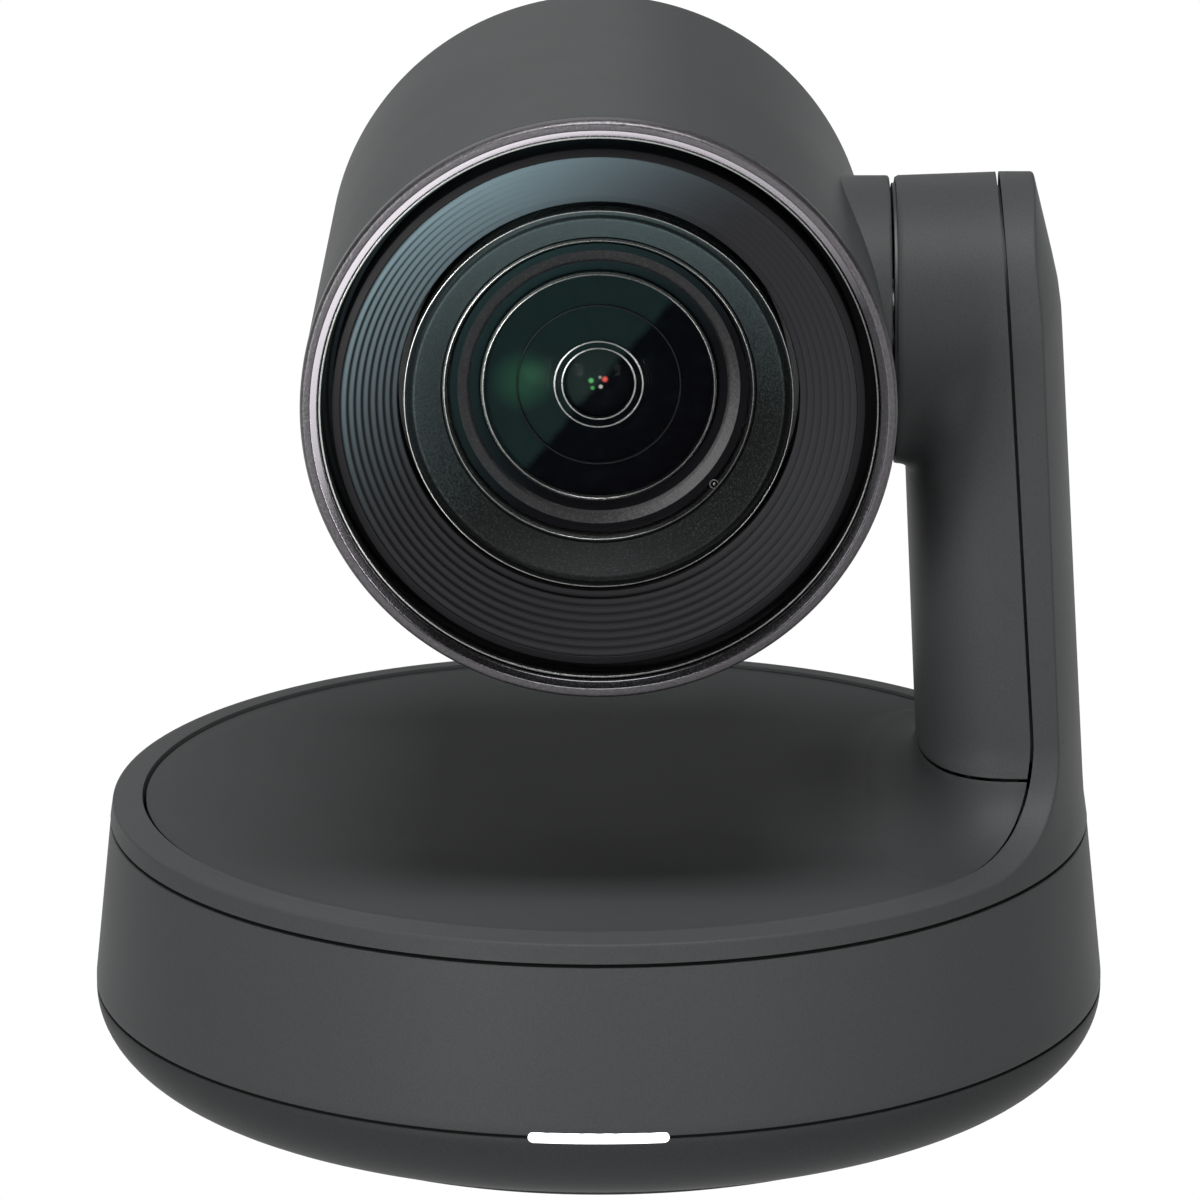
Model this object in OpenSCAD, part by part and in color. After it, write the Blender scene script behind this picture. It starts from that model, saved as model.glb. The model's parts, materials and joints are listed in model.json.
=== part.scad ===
// Table-top pan and tilt camera, in millimetres, +Z up.
// The origin is the centre of the base's underside. The lens looks along -Y and the arm is on +X.

/* [Head] */
// Radius of the head at its front rim
head_r = 43; // [40:0.5:52]
// How far the front rim stands ahead of the tilt axis
head_front = 52.7; // [50:0.1:64]
// How far the back of the head stands behind the tilt axis
head_back = 39.5; // [38.5:0.1:48]
// How much smaller the head's radius is at its back
head_taper = 2.2; // [0:0.1:3]
// Wall of the head's shell
head_wall = 2.2; // [1.6:0.1:2.6]
// Free height between the turning head and the top plate
head_clear = 6; // [3:0.5:12]

/* [Lens] */
// Radius of the front glass
glass_r = 22; // [18:0.5:23]
// Radius of the front glass's dome
glass_dome_r = 30; // [27:1:40]
// How far the rim of the front glass lies behind the front rim
glass_depth = 13; // [11:0.5:15]
// Outer radius of the lens barrel
barrel_r = 26; // [24:0.5:28]
// Travel of the zoom group
zoom_travel = 12; // [4:0.5:14]
// Travel of the focus group
focus_travel = 6; // [2:0.5:7]
// Number of fine steps in the baffle cone
baffle_steps = 10; // [4:1:16]

/* [Arm] */
// Radius of the drum at the top of the arm
drum_r = 21.4; // [20:0.1:26]
// Running gap between the head's stub and the drum
side_gap = 0.8; // [0.5:0.1:1.5]
// Wall of the arm's covers
arm_wall = 2; // [1.4:0.1:2.4]
// Half depth of the arm at its foot
arm_half_depth = 24; // [23:0.5:30]
// Length of the tilt motor
tilt_motor_len = 9.5; // [8:0.5:12]
// Radius of the tilt motor
tilt_motor_r = 10; // [7:0.5:10.5]

/* [Base] */
// Height of the lower seam
lower_h = 15; // [13:0.5:19]
// Height of the ring wall between the lower and the upper seam
ring_h = 25.5; // [23.5:0.5:32]
// Width of the shadow gaps at the seams
seam_gap = 0.6; // [0.4:0.1:1]
// Wall of the base's shells
base_wall = 2.4; // [2:0.1:3]
// Width of the light bar
light_w = 20.5; // [10:0.5:30]
// Height of the light bar
light_h = 1.6; // [1:0.1:3]
// Radius of the pan motor
pan_motor_r = 12; // [8:0.5:14]
// Height of the pan motor
pan_motor_h = 13; // [8:0.5:14]

/* [Drives] */
// Module of the gears
gear_module = 0.8; // [0.7:0.05:0.9]
// Teeth of the pan gear
pan_teeth = 80; // [70:2:90]
// Teeth of the tilt gear
tilt_teeth = 34; // [30:2:38]
// Teeth of the pinions
pinion_teeth = 16; // [16:1:20]
// Radius of the pan post
post_r = 9; // [7.5:0.5:11]
// Radius of the tilt shaft
shaft_r = 6; // [5:0.25:7]
// Radial clearance of running fits
run_clear = 0.05; // [0.02:0.01:0.1]

/* [Mounts] */
// Radius of the tapped hole of the tripod insert
tripod_hole_r = 2.55; // [2:0.05:4.5]
// Length of the tripod insert
tripod_len = 9; // [7:0.5:10]

/* [Hidden] */
$fn = 96;
cut = 0.5;

// Heights of the base, from the table up
floor_z = 2;
floor_t = 2.2;
chassis_z = 6;
chassis_t = 1.4;
upper_z = lower_h + ring_h;
ring_top_z = upper_z - seam_gap / 2;
rim_z = upper_z + seam_gap / 2;
rim_h = 3.4;
rim_top_z = rim_z + rim_h;
plate_t = 2.4;
plate_z = rim_top_z - 0.4 - plate_t;
flange_t = 1.8;
carrier_t = 2;
carrier_z = plate_z - flange_t - 0.2 - carrier_t;
gear_w = 4;
pan_gear_z = carrier_z - gear_w - 0.4;
pan_pinion_w = 3.6;

// The head swings about the tilt axis just above the top plate
tilt_z = rim_top_z + norm([head_r, head_front]) + head_clear - 0.8;

// Stack of the arm along X, from the head's stub to the outer wall
stub_x = head_r + 0.1;
drum_x = stub_x + side_gap;
frame_t = 2;
inner_frame_x = drum_x + arm_wall + 0.4;
tilt_gear_x = inner_frame_x + frame_t + 1.3;
outer_frame_x = tilt_gear_x + gear_w + 1;
motor_x = outer_frame_x + frame_t;
motor_end_x = motor_x + tilt_motor_len;
shaft_end_x = motor_x + 1.5;

// Outer surface: a cone about Z with a rounded shoulder at the top of the arm
arm_draft = 0.0567;
shoulder_z = tilt_z + 5;
motor_z = tilt_z - gear_module * (tilt_teeth + pinion_teeth) / 2;
arm_foot_r = motor_end_x + 3.9 + arm_draft * (motor_z - upper_z - 4.5);
rim_r = arm_foot_r + 0.6;
base_r = rim_r + 2.4;
band_w = 4.3;
plate_r = arm_foot_r - 0.2 - band_w;
skirt_clear = 0.4;
function arm_outer_r(z) = arm_foot_r - arm_draft * (z - upper_z - 4.5);
shoulder_r = arm_outer_r(shoulder_z);

// Split plane of the arm between the inner cover and the outer shell
split_angle = 3.6;
split_x = drum_x + 16.6;
function split_x_at(z) = split_x - tan(split_angle) * (z - tilt_z);
arm_top_r = drum_r + 0.6;
boot_top_z = rim_top_z + 9.2;
sweep_w = 19.5;
sweep_h = 14.2;
column_x = drum_x + 3.8;
column_power = 2.8;
boot_flare = 8.5;

// Lens stack along Y, measured from the front rim
bezel_len = 2.8;
shell_front_y = -head_front + bezel_len + 0.4;
head_back_r = head_r - head_taper;
cap_r = head_back_r - 4.3;
hood_r = head_r - 5.8;
hood_back_r = glass_r + 7;
hood_front_y = -head_front + 2;
hood_back_y = -head_front + 9;
glass_y = -head_front + glass_depth;
barrel_wall = 2.4;
barrel_front_y = glass_y + 2.5;
barrel_bore_r = barrel_r - barrel_wall;
group_r = barrel_bore_r - 1.6;
rod_r = 1;
rod_at = group_r - 2.2;
zoom_y = barrel_front_y + 10.5;
zoom_len = 8;
aperture_y = zoom_y + zoom_len + zoom_travel + 1.5;
aperture_t = 1.6;
focus_y = aperture_y + aperture_t + 1.2;
focus_len = 5;
barrel_back_y = focus_y + focus_len + focus_travel + 1.2;
barrel_back_t = 2;
sensor_y = barrel_back_y + barrel_back_t;
board_t = 1.6;

// Ports at the back of the base
panel_z = lower_h + 10.4;
panel_w = 62;
panel_h = 15.8;
panel_t = 1.6;
panel_y = base_r - 12.4;
tray_wall = 1.4;
board_z = panel_z - 4.4;

jack_at = -22;
usb_at = -7;
video_at = 8;
button_at = 20;
lock_at = 27;
button_r = 2;

pan_pinion_at = gear_module * (pan_teeth + pinion_teeth) / 2;
motor_shaft_r = 1;

// Screws, foot and tripod insert
foot_r = base_r - 24;
screw_r = 1.4;
screw_head_r = 2.8;
screws_at = base_r - 33;
tripod_body_r = 5.2;

// Main board
board_w = 72;
board_front_y = post_r + 8;

// Pan bearing
bush_len = carrier_z + carrier_t - (pan_gear_z - 5);
bush_z = pan_gear_z - 5;
washer_t = 1.2;
post_top_z = carrier_z + carrier_t + 1.4;

// Chassis of the arm and of the head
chassis_half = 14;
chassis_bottom = carrier_z + carrier_t;
pillar_at = drum_r - arm_wall - 2.4;
flange_x = head_r - 6;
side_t = 2.5;

// Rings and lenses of the lens
trim_r = head_r - 1.4;
trim_in_r = trim_r - 1.2;
ring_out_r = hood_back_r - 0.8;
zoom_lens_r = 14;
focus_lens_r = 11;

// Colours
charcoal = [0.20, 0.21, 0.22];
black = [0.06, 0.06, 0.06];
steel = [0.62, 0.63, 0.65];
board_green = [0.08, 0.28, 0.16];
glass_tint = [0.08, 0.16, 0.15];

// ---- helpers ----

// Turns children so that their Z runs along +X on the tilt axis
module along_x(x) {
    translate([x, 0, tilt_z]) rotate([0, 90, 0]) children();
}

// Turns children so that their Z runs along +Y on the lens axis
module along_y(y) {
    translate([0, y, tilt_z]) rotate([-90, 0, 0]) children();
}

module tube(outer_r, inner_r, h) {
    difference() {
        cylinder(r = outer_r, h = h);
        translate([0, 0, -cut]) cylinder(r = inner_r, h = h + 2 * cut);
    }
}

// Revolves an outline of [radius, y] points about the lens axis
module turned_about_lens(points) {
    along_y(0) rotate_extrude() polygon(points);
}

// Point at angle a on the involute of a circle of radius r
function involute(r, a) = r * sqrt(1 + pow(a * PI / 180, 2));
function involute_angle(a) = a - atan(a * PI / 180);

// One side of an involute tooth, from its root to its tip, as [radius, half angle]
function tooth_flank(teeth, backlash) =
    let(
        pitch = gear_module * teeth / 2,
        base = pitch * cos(20),
        tip = pitch + 0.9 * gear_module,
        pitch_roll = tan(20) * 180 / PI,
        tip_roll = sqrt(pow(tip / base, 2) - 1) * 180 / PI,
        half = 90 / teeth - backlash / pitch * 90 / PI + involute_angle(pitch_roll)
    )
    [for (i = [0:4])
        let(roll = tip_roll * i / 4)
        [involute(base, roll), half - involute_angle(roll)]];

module gear_outline(teeth, backlash = 0.14) {
    flank = tooth_flank(teeth, backlash);
    root = gear_module * teeth / 2 - 1.2 * gear_module;
    last = len(flank) - 1;
    polygon([for (t = [0:teeth - 1])
        let(at = 360 * t / teeth)
        each concat(
            [[root * cos(at - flank[0][1] - 0.3), root * sin(at - flank[0][1] - 0.3)]],
            [for (p = flank) p[0] * [cos(at - p[1]), sin(at - p[1])]],
            [for (i = [0:last]) let(p = flank[last - i]) p[0] * [cos(at + p[1]), sin(at + p[1])]],
            [[root * cos(at + flank[0][1] + 0.3), root * sin(at + flank[0][1] + 0.3)]])]);
}

module spur_gear(teeth, h, bore) {
    difference() {
        linear_extrude(h) gear_outline(teeth);
        translate([0, 0, -cut]) cylinder(r = bore, h = h + 2 * cut);
    }
}

// Half turn of a tooth, so that a pinion's gap meets a gear's tooth
function mesh_turn(teeth) = 180 / teeth;

// The space on the inner side of the arm's split plane
module inner_side(gap = 0) {
    translate([split_x, 0, tilt_z]) rotate([0, -split_angle, 0])
        translate([-200 - gap, -100, -200]) cube([200, 200, 300]);
}

// Plan outline of the arm's column, open towards the outer shell
module column_outline(grow) {
    half = arm_half_depth - 1.5 + grow;
    mid = split_x_at(boot_top_z);
    wide = mid - column_x + grow;
    steps = 24;
    polygon(concat(
        [for (i = [0:steps])
            let(t = 180 * i / steps, c = cos(t))
            [mid - wide * pow(sin(t), 2 / column_power),
             -half * sign(c) * pow(abs(c), 2 / column_power)]],
        [[mid + 14, half], [mid + 14, -half]]));
}

// Side outline of the arm in the plane across X, as [y, z] points
module arm_side_outline(grow) {
    top = arm_top_r + grow;
    foot = arm_half_depth + grow;
    arc = [for (i = [0:24]) let(a = 180 * i / 24) [top * cos(a), tilt_z + top * sin(a)]];
    sweep = [for (i = [0:8]) let(a = 90 * i / 8)
        [foot + sweep_w * (1 - cos(a)), rim_top_z + sweep_h - sweep_h * sin(a)]];
    left = [for (p = sweep) [-p[0], p[1]]];
    right = [for (i = [0:8]) sweep[8 - i]];
    end = foot + sweep_w;
    polygon(concat(right, arc, left, [[-end, rim_z], [end, rim_z]]));
}

module arm_side(grow) {
    translate([40, 0, 0]) rotate([90, 0, 90]) linear_extrude(60) arm_side_outline(grow);
}

// Solid inside the outer surface of the arm, made smaller by inset
module arm_round(inset) {
    top_z = tilt_z + arm_top_r + 2;
    rotate_extrude() polygon([
        [0, rim_z], [rim_r - inset, rim_z], [arm_foot_r - inset, rim_z + 4.2],
        [shoulder_r - inset, shoulder_z], [shoulder_r - 0.8 - inset, shoulder_z + 5],
        [shoulder_r - 2.2 - inset, shoulder_z + 11], [shoulder_r - 4.8 - inset, top_z],
        [0, top_z]]);
}

// ---- base ----

module lower_shell() {
    edge_w = 18;
    curve_h = lower_h - seam_gap / 2 - floor_z;
    outside = [for (i = [0:10]) let(a = 90 * i / 10)
        [base_r - edge_w + edge_w * sin(a), floor_z + curve_h * (1 - cos(a))]];
    inside = [for (i = [0:10]) let(a = 90 * (10 - i) / 10)
        [base_r - edge_w + (edge_w - base_wall) * sin(a),
         floor_z + floor_t + (curve_h - floor_t) * (1 - cos(a))]];
    color(charcoal) difference() {
        union() {
            rotate_extrude() polygon(concat([[0, floor_z]], outside, inside,
                [[0, floor_z + floor_t]]));
            // Lip that closes the seam from behind
            translate([0, 0, lower_h - 4])
                tube(base_r - base_wall - 0.2, base_r - base_wall - 2, 6);
            // Boss of the tripod insert
            translate([0, 0, floor_z]) cylinder(r = 9, h = chassis_z - floor_z);
            screw_bosses();
        }
        translate([0, 0, floor_z - cut]) tube(foot_r + 6, foot_r, cut + 0.8);
        translate([0, 0, floor_z - cut]) cylinder(r = tripod_body_r, h = 8);
        at_base_screws() {
            translate([0, 0, floor_z - cut]) cylinder(r = screw_r, h = 12);
            translate([0, 0, floor_z - cut]) cylinder(r = screw_head_r, h = 2.1);
        }
        light_pocket(0);
    }
}

module at_base_screws() {
    for (a = [45:90:315]) rotate(a) translate([screws_at, 0, 0]) children();
}

module screw_bosses() {
    at_base_screws() translate([0, 0, floor_z]) cylinder(r = 4.4, h = chassis_z - floor_z);
}

module foot_ring() {
    color(black) tube_at(foot_r + 6, foot_r, 0, floor_z + 0.8);
}

module tube_at(outer_r, inner_r, z0, z1) {
    translate([0, 0, z0]) tube(outer_r, inner_r, z1 - z0);
}

module tripod_insert() {
    color(steel) translate([0, 0, floor_z]) tube(tripod_body_r, tripod_hole_r, tripod_len);
}

module base_screws() {
    color(steel) at_base_screws() {
        translate([0, 0, floor_z + 0.2]) cylinder(r = screw_head_r - 0.1, h = 1.4);
        translate([0, 0, floor_z + 0.2]) cylinder(r = screw_r, h = chassis_z + chassis_t - floor_z - 0.4);
    }
}

module ballast_plate() {
    color(steel) difference() {
        translate([0, 0, chassis_z]) cylinder(r = base_r - 17, h = chassis_t);
        translate([0, 0, chassis_z - cut]) cylinder(r = tripod_body_r + 0.1, h = chassis_t + 1);
        at_base_screws() translate([0, 0, chassis_z - cut]) cylinder(r = screw_r, h = chassis_t + 1);
    }
}

// Wall of the base between the seams, which leans in by the same draft all round
module ring_shell() {
    bottom = lower_h + seam_gap / 2;
    color(charcoal) difference() {
        rotate_extrude() polygon([
            [base_r, bottom], [base_r, bottom + 1], [rim_r, ring_top_z],
            [rim_r - base_wall, ring_top_z], [base_r - base_wall, bottom + 1],
            [base_r - base_wall, bottom]]);
        translate([-panel_w / 2 + tray_wall, 20, panel_z - panel_h / 2 + tray_wall])
            cube([panel_w - 2 * tray_wall, base_r, panel_h - 2 * tray_wall]);
        light_pocket(0);
    }
}

// Rounded slot through the front wall for the light bar
module light_pocket(shrink) {
    r = light_h / 2 - shrink;
    translate([0, -base_r + 5, lower_h]) rotate([90, 0, 0]) {
        for (side = [-1, 1]) translate([side * (light_w / 2 - light_h / 2), 0, 0])
            cylinder(r = r, h = 12);
        translate([-light_w / 2 + light_h / 2, -r, 0]) cube([light_w - light_h, 2 * r, 12]);
    }
}

module light_bar() {
    color([0.95, 0.97, 1]) intersection() {
        light_pocket(0.05);
        tube_at(base_r, base_r - 1.6, lower_h - 3, lower_h + 3);
    }
}

module light_board() {
    color(board_green) translate([-light_w / 2 + 1, -base_r + base_wall + 2.9, lower_h - 3])
        cube([light_w - 2, 1, 6]);
}

module port_panel() {
    mouth_w = panel_w - 2 * tray_wall;
    mouth_h = panel_h - 2 * tray_wall;
    color(black) difference() {
        intersection() {
            translate([-panel_w / 2, panel_y, panel_z - panel_h / 2]) cube([panel_w, 40, panel_h]);
            rotate_extrude() polygon([[0, 0], [base_r - base_wall, 0],
                [base_r - base_wall, lower_h + 1.3], [rim_r - base_wall, ring_top_z], [0, ring_top_z]]);
        }
        translate([-mouth_w / 2, panel_y + panel_t, panel_z - mouth_h / 2])
            cube([mouth_w, 60, mouth_h]);
        translate([jack_at, panel_y - cut, panel_z]) rotate([-90, 0, 0]) cylinder(r = 4.5, h = 4);
        port_hole(usb_at, 8.94, 3.26);
        port_hole(video_at, 15, 5.6);
        port_hole(lock_at, 3, 7);
        translate([button_at, panel_y - cut, panel_z]) rotate([-90, 0, 0])
            cylinder(r = button_r + run_clear, h = 4);
    }
}

module port_hole(x, w, h) {
    translate([x - w / 2, panel_y - cut, panel_z - h / 2]) cube([w, 4, h]);
}

// A metal shell around a socket, its cavity and its contact tongue
module socket(x, w, h, wall, depth, tongue_h) {
    color(steel) {
        difference() {
            translate([x - w / 2, panel_y + panel_t - depth - wall, panel_z - h / 2])
                cube([w, depth + wall, h]);
            translate([x - w / 2 + wall, panel_y + panel_t - depth, panel_z - h / 2 + wall])
                cube([w - 2 * wall, depth + 1, h - 2 * wall]);
        }
        translate([x - w / 2 + 1.6, panel_y + panel_t - depth - cut, panel_z - tongue_h / 2])
            cube([w - 3.2, depth - 1, tongue_h]);
        // Feet that stand on the board
        translate([x - w / 2 + 1, panel_y + panel_t - depth - wall, board_z + board_t])
            cube([w - 2, depth - 2, panel_z - h / 2 + 0.1 - board_z - board_t]);
    }
}

module usb_port() {
    socket(usb_at, 8.94, 3.26, 0.35, 7, 0.7);
}

module video_port() {
    socket(video_at, 15, 5.6, 0.5, 9, 1);
}

module power_jack() {
    color(black) {
        difference() {
            union() {
                translate([jack_at - 4.6, panel_y - 9.6, board_z + board_t])
                    cube([9.2, 9.6, panel_z + 4.8 - board_z - board_t]);
                translate([jack_at, panel_y - 1, panel_z]) rotate([-90, 0, 0])
                    cylinder(r = 4.4, h = 1 + panel_t);
            }
            translate([jack_at, panel_y - 8.4, panel_z]) rotate([-90, 0, 0]) cylinder(r = 3.2, h = 20);
        }
        translate([jack_at, panel_y - 8.6, panel_z]) rotate([-90, 0, 0]) cylinder(r = 1, h = 8);
    }
}

module lock_plate() {
    color(steel) difference() {
        translate([lock_at - 3.4, panel_y - 1.6, panel_z - 6]) cube([7, 1.6, 12]);
        port_hole_through(lock_at, 3, 7);
    }
}

module port_hole_through(x, w, h) {
    translate([x - w / 2, panel_y - 5, panel_z - h / 2]) cube([w, 10, h]);
}

module main_board() {
    color(board_green) {
        difference() {
            translate([-board_w / 2, board_front_y, board_z])
                cube([board_w, panel_y - 2.6 - board_front_y, board_t]);
            at_board_pillars() translate([0, 0, board_z - cut]) cylinder(r = 1.3, h = board_t + 1);
        }
        // Processor, memory and coils
        translate([-9, board_front_y + 8, board_z + board_t]) cube([15, 15, 1.6]);
        translate([12, board_front_y + 10, board_z + board_t]) cube([11, 9, 1.2]);
        translate([-26, board_front_y + 12, board_z + board_t]) cube([9, 9, 4.5]);
        // Switch behind the reset button
        translate([button_at - 3, panel_y - 9.6, board_z + board_t])
            cube([6, 3, panel_z + 2.6 - board_z - board_t]);
    }
}

module at_board_pillars() {
    for (x = [-board_w / 2 + 4, board_w / 2 - 4]) for (y = [board_front_y + 4, board_front_y + 30])
        translate([x, y, 0]) children();
}

module board_pillars() {
    color(steel) at_board_pillars() {
        translate([0, 0, chassis_z + chassis_t]) cylinder(r = 2.6, h = board_z - chassis_z - chassis_t);
        translate([0, 0, board_z]) cylinder(r = 1.3, h = board_t);
        translate([0, 0, board_z + board_t]) cylinder(r = 2.4, h = 1.2);
    }
}

module pan_post() {
    color(steel) difference() {
        union() {
            translate([0, 0, chassis_z + chassis_t]) cylinder(r = post_r + 6.5, h = 2.4);
            translate([0, 0, chassis_z + chassis_t])
                cylinder(r = post_r + 3.6, h = bush_z - washer_t - chassis_z - chassis_t);
            translate([0, 0, chassis_z + chassis_t])
                cylinder(r = post_r, h = post_top_z - chassis_z - chassis_t);
        }
        translate([0, 0, chassis_z]) cylinder(r = post_r - 2.6, h = 60);
    }
}

module glide_washer() {
    color([0.9, 0.88, 0.82]) tube_at(post_r + 3.6, post_r, bush_z - washer_t, bush_z - 0.05);
}

module post_clip() {
    color(steel) tube_at(post_r + 2.2, post_r, carrier_z + carrier_t + 0.1, carrier_z + carrier_t + 1);
}

module pan_motor() {
    color(steel) difference() {
        translate([0, -pan_pinion_at, chassis_z + chassis_t]) cylinder(r = pan_motor_r, h = pan_motor_h);
        translate([0, -pan_pinion_at, chassis_z + chassis_t + pan_motor_h - 6])
            cylinder(r = motor_shaft_r + run_clear, h = 10);
    }
}

module reset_button() {
    color(charcoal) translate([button_at, panel_y - 5.9, panel_z]) rotate([-90, 0, 0])
        cylinder(r = button_r, h = 5.9 + panel_t + 0.8);
}

module pan_pinion() {
    shaft_z = chassis_z + chassis_t + pan_motor_h - 5;
    color(steel) translate([0, -pan_pinion_at, 0]) {
        translate([0, 0, pan_gear_z + 0.2]) rotate(90 + mesh_turn(pinion_teeth))
            linear_extrude(pan_pinion_w) gear_outline(pinion_teeth);
        translate([0, 0, shaft_z]) cylinder(r = motor_shaft_r, h = pan_gear_z + 1 - shaft_z);
    }
}

// ---- turning top and arm ----

module top_plate() {
    color(charcoal) difference() {
        union() {
            rotate_extrude() polygon([[0, plate_z], [plate_r - 0.3, plate_z],
                [plate_r - 0.3, plate_z + plate_t], [plate_r / 2, plate_z + plate_t - 0.3],
                [0, plate_z + plate_t - 0.4]]);
            column_boot();
        }
        translate([0, 0, plate_z - cut]) linear_extrude(30) column_outline(-arm_wall);
    }
}

// Foot of the column, which sweeps out into the plate
module column_boot() {
    boot_h = boot_top_z - 0.25 - plate_z - 1;
    steps = 5;
    intersection() {
        union() for (i = [0:steps - 1]) {
            hull() for (k = [i, i + 1])
                let(a = 90 * k / steps)
                translate([0, 0, plate_z + 1 + boot_h * (1 - cos(a))])
                    linear_extrude(0.01) column_outline(boot_flare * (1 - sin(a)));
        }
        inner_side(0.5);
        cylinder(r = plate_r - 0.3, h = 200);
    }
}

module outer_shell() {
    color(charcoal) difference() {
        union() {
            rotate_extrude() polygon([
                [rim_r, rim_z], [rim_r - 0.1, rim_z + 1.8], [arm_foot_r - 0.2, rim_z + 2.8],
                [plate_r, rim_top_z], [plate_r, plate_z], [plate_r - 6.5, plate_z],
                [plate_r - 6.5, plate_z - flange_t], [plate_r, plate_z - flange_t],
                [plate_r, ring_top_z - 2.2], [rim_r - base_wall - skirt_clear, ring_top_z - 2.2],
                [rim_r - base_wall - skirt_clear, rim_z]]);
            difference() {
                intersection() {
                    arm_round(0);
                    arm_side(0);
                }
                intersection() {
                    inner_side(0);
                    cylinder(r = plate_r, h = 300);
                }
                intersection() {
                    arm_round(arm_wall + 0.2);
                    arm_side(-arm_wall);
                    translate([0, -100, rim_top_z + 1]) cube([200, 200, 200]);
                }
            }
            // Bosses that take the arm screws
            intersection() {
                arm_round(0.8);
                at_arm_screws() translate([0, 0, frame_t + 0.02]) cylinder(r = 3, h = 20);
            }
        }
        at_arm_screws() cylinder(r = screw_r, h = 9);
        at_carrier_screws() translate([0, 0, carrier_z]) cylinder(r = 1.1, h = plate_z - carrier_z + 1);
    }
}

module at_arm_screws() {
    for (y = [-11.5, 11.5]) for (z = [boot_top_z + 6, motor_z - tilt_motor_r - 5])
        translate([outer_frame_x, y, z]) rotate([0, 90, 0]) children();
}

module at_carrier_screws() {
    for (a = [30:60:330]) rotate(a) translate([plate_r - 3.4, 0, 0]) children();
}

module inner_cover() {
    color(charcoal) difference() {
        intersection() {
            union() {
                along_x(drum_x) rotate_extrude() polygon([[0, 0], [drum_r - 0.4, 0],
                    [drum_r, 0.4], [arm_top_r, 17], [arm_top_r, 30], [0, 30]]);
                column_body(0);
            }
            inner_side(0.5);
        }
        along_x(drum_x + arm_wall) cylinder(r = drum_r - arm_wall, h = 60);
        intersection() {
            column_body(-arm_wall);
            translate([0, -50, boot_top_z - 2]) cube([200, 100, tilt_z - boot_top_z]);
        }
        along_x(drum_x - cut) cylinder(r = shaft_r + 1, h = 10);
    }
}

// The column from the boot's seam up to the tilt axis, leaning with the split plane
module column_body(grow) {
    lean = 2.6;
    intersection() {
        translate([column_x, 0, boot_top_z]) rotate([0, -lean, 0]) translate([-column_x, 0, -5])
            linear_extrude(tilt_z - boot_top_z + 5) column_outline(grow);
        translate([0, -100, boot_top_z]) cube([200, 200, 200]);
    }
}

module pan_carrier() {
    color(steel) difference() {
        union() {
            translate([0, 0, carrier_z]) cylinder(r = plate_r - 1.2, h = carrier_t);
            translate([0, 0, bush_z]) cylinder(r = post_r + 6, h = carrier_z - bush_z + 0.1);
        }
        translate([0, 0, bush_z - cut]) cylinder(r = post_r + 2.5, h = 30);
        at_carrier_screws() translate([0, 0, carrier_z - cut]) cylinder(r = 1.1, h = 6);
    }
}

module pan_bush() {
    color([0.9, 0.88, 0.82]) tube_at(post_r + 2.5, post_r + run_clear, bush_z, bush_z + bush_len);
}

module pan_gear() {
    color([0.88, 0.86, 0.80]) translate([0, 0, pan_gear_z]) union() {
        spur_gear(pan_teeth, gear_w, post_r + 6);
        translate([0, 0, gear_w - 0.1]) tube(post_r + 9, post_r + 6, carrier_z - pan_gear_z - gear_w + 0.1);
    }
}

module carrier_screws() {
    color(steel) at_carrier_screws() {
        translate([0, 0, carrier_z - 1.2]) cylinder(r = 2, h = 1.2);
        translate([0, 0, carrier_z - 0.1]) cylinder(r = 1.1, h = plate_z - carrier_z);
    }
}

// Two plates that carry the tilt shaft, held apart by pillars, on a foot on the carrier
module arm_chassis() {
    color(steel) difference() {
        union() {
            along_x(inner_frame_x) cylinder(r = drum_r - arm_wall - 1.2, h = frame_t);
            along_x(outer_frame_x) cylinder(r = drum_r - arm_wall - 1.2, h = frame_t);
            translate([outer_frame_x, -chassis_half, chassis_bottom])
                cube([frame_t, 2 * chassis_half, tilt_z - chassis_bottom]);
            translate([outer_frame_x - 16, -chassis_half, chassis_bottom])
                cube([16.5, 2 * chassis_half, plate_z - chassis_bottom - 0.1]);
            for (a = [60:60:300]) along_x(inner_frame_x) rotate(a)
                translate([pillar_at, 0, 0]) cylinder(r = 1, h = outer_frame_x - inner_frame_x + 1);
        }
        along_x(inner_frame_x - cut) cylinder(r = shaft_r + 2, h = frame_t + 1);
        along_x(outer_frame_x - cut) cylinder(r = shaft_r + 2, h = frame_t + 1);
        translate([outer_frame_x - cut, 0, motor_z]) rotate([0, 90, 0])
            cylinder(r = 4, h = frame_t + 1);
        at_arm_screws() translate([0, 0, -cut]) cylinder(r = screw_r, h = frame_t + 1);
    }
}

module tilt_bushes() {
    color([0.9, 0.88, 0.82]) for (x = [inner_frame_x, outer_frame_x])
        along_x(x) tube(shaft_r + 2, shaft_r + run_clear, frame_t);
}

module tilt_motor() {
    color(steel) difference() {
        translate([motor_x, 0, motor_z]) rotate([0, 90, 0]) cylinder(r = tilt_motor_r, h = tilt_motor_len);
        translate([motor_x - cut, 0, motor_z]) rotate([0, 90, 0])
            cylinder(r = motor_shaft_r + run_clear, h = 6);
    }
}

module arm_screws() {
    color(steel) at_arm_screws() {
        translate([0, 0, -1.4]) cylinder(r = 2.3, h = 1.4);
        translate([0, 0, -0.1]) cylinder(r = screw_r, h = 7);
    }
}

module arm_cable() {
    color([0.75, 0.72, 0.62]) translate([motor_x + 0.1, -6, chassis_bottom + 6])
        cube([0.6, 12, motor_z - tilt_motor_r - 1 - chassis_bottom - 6]);
}

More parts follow.
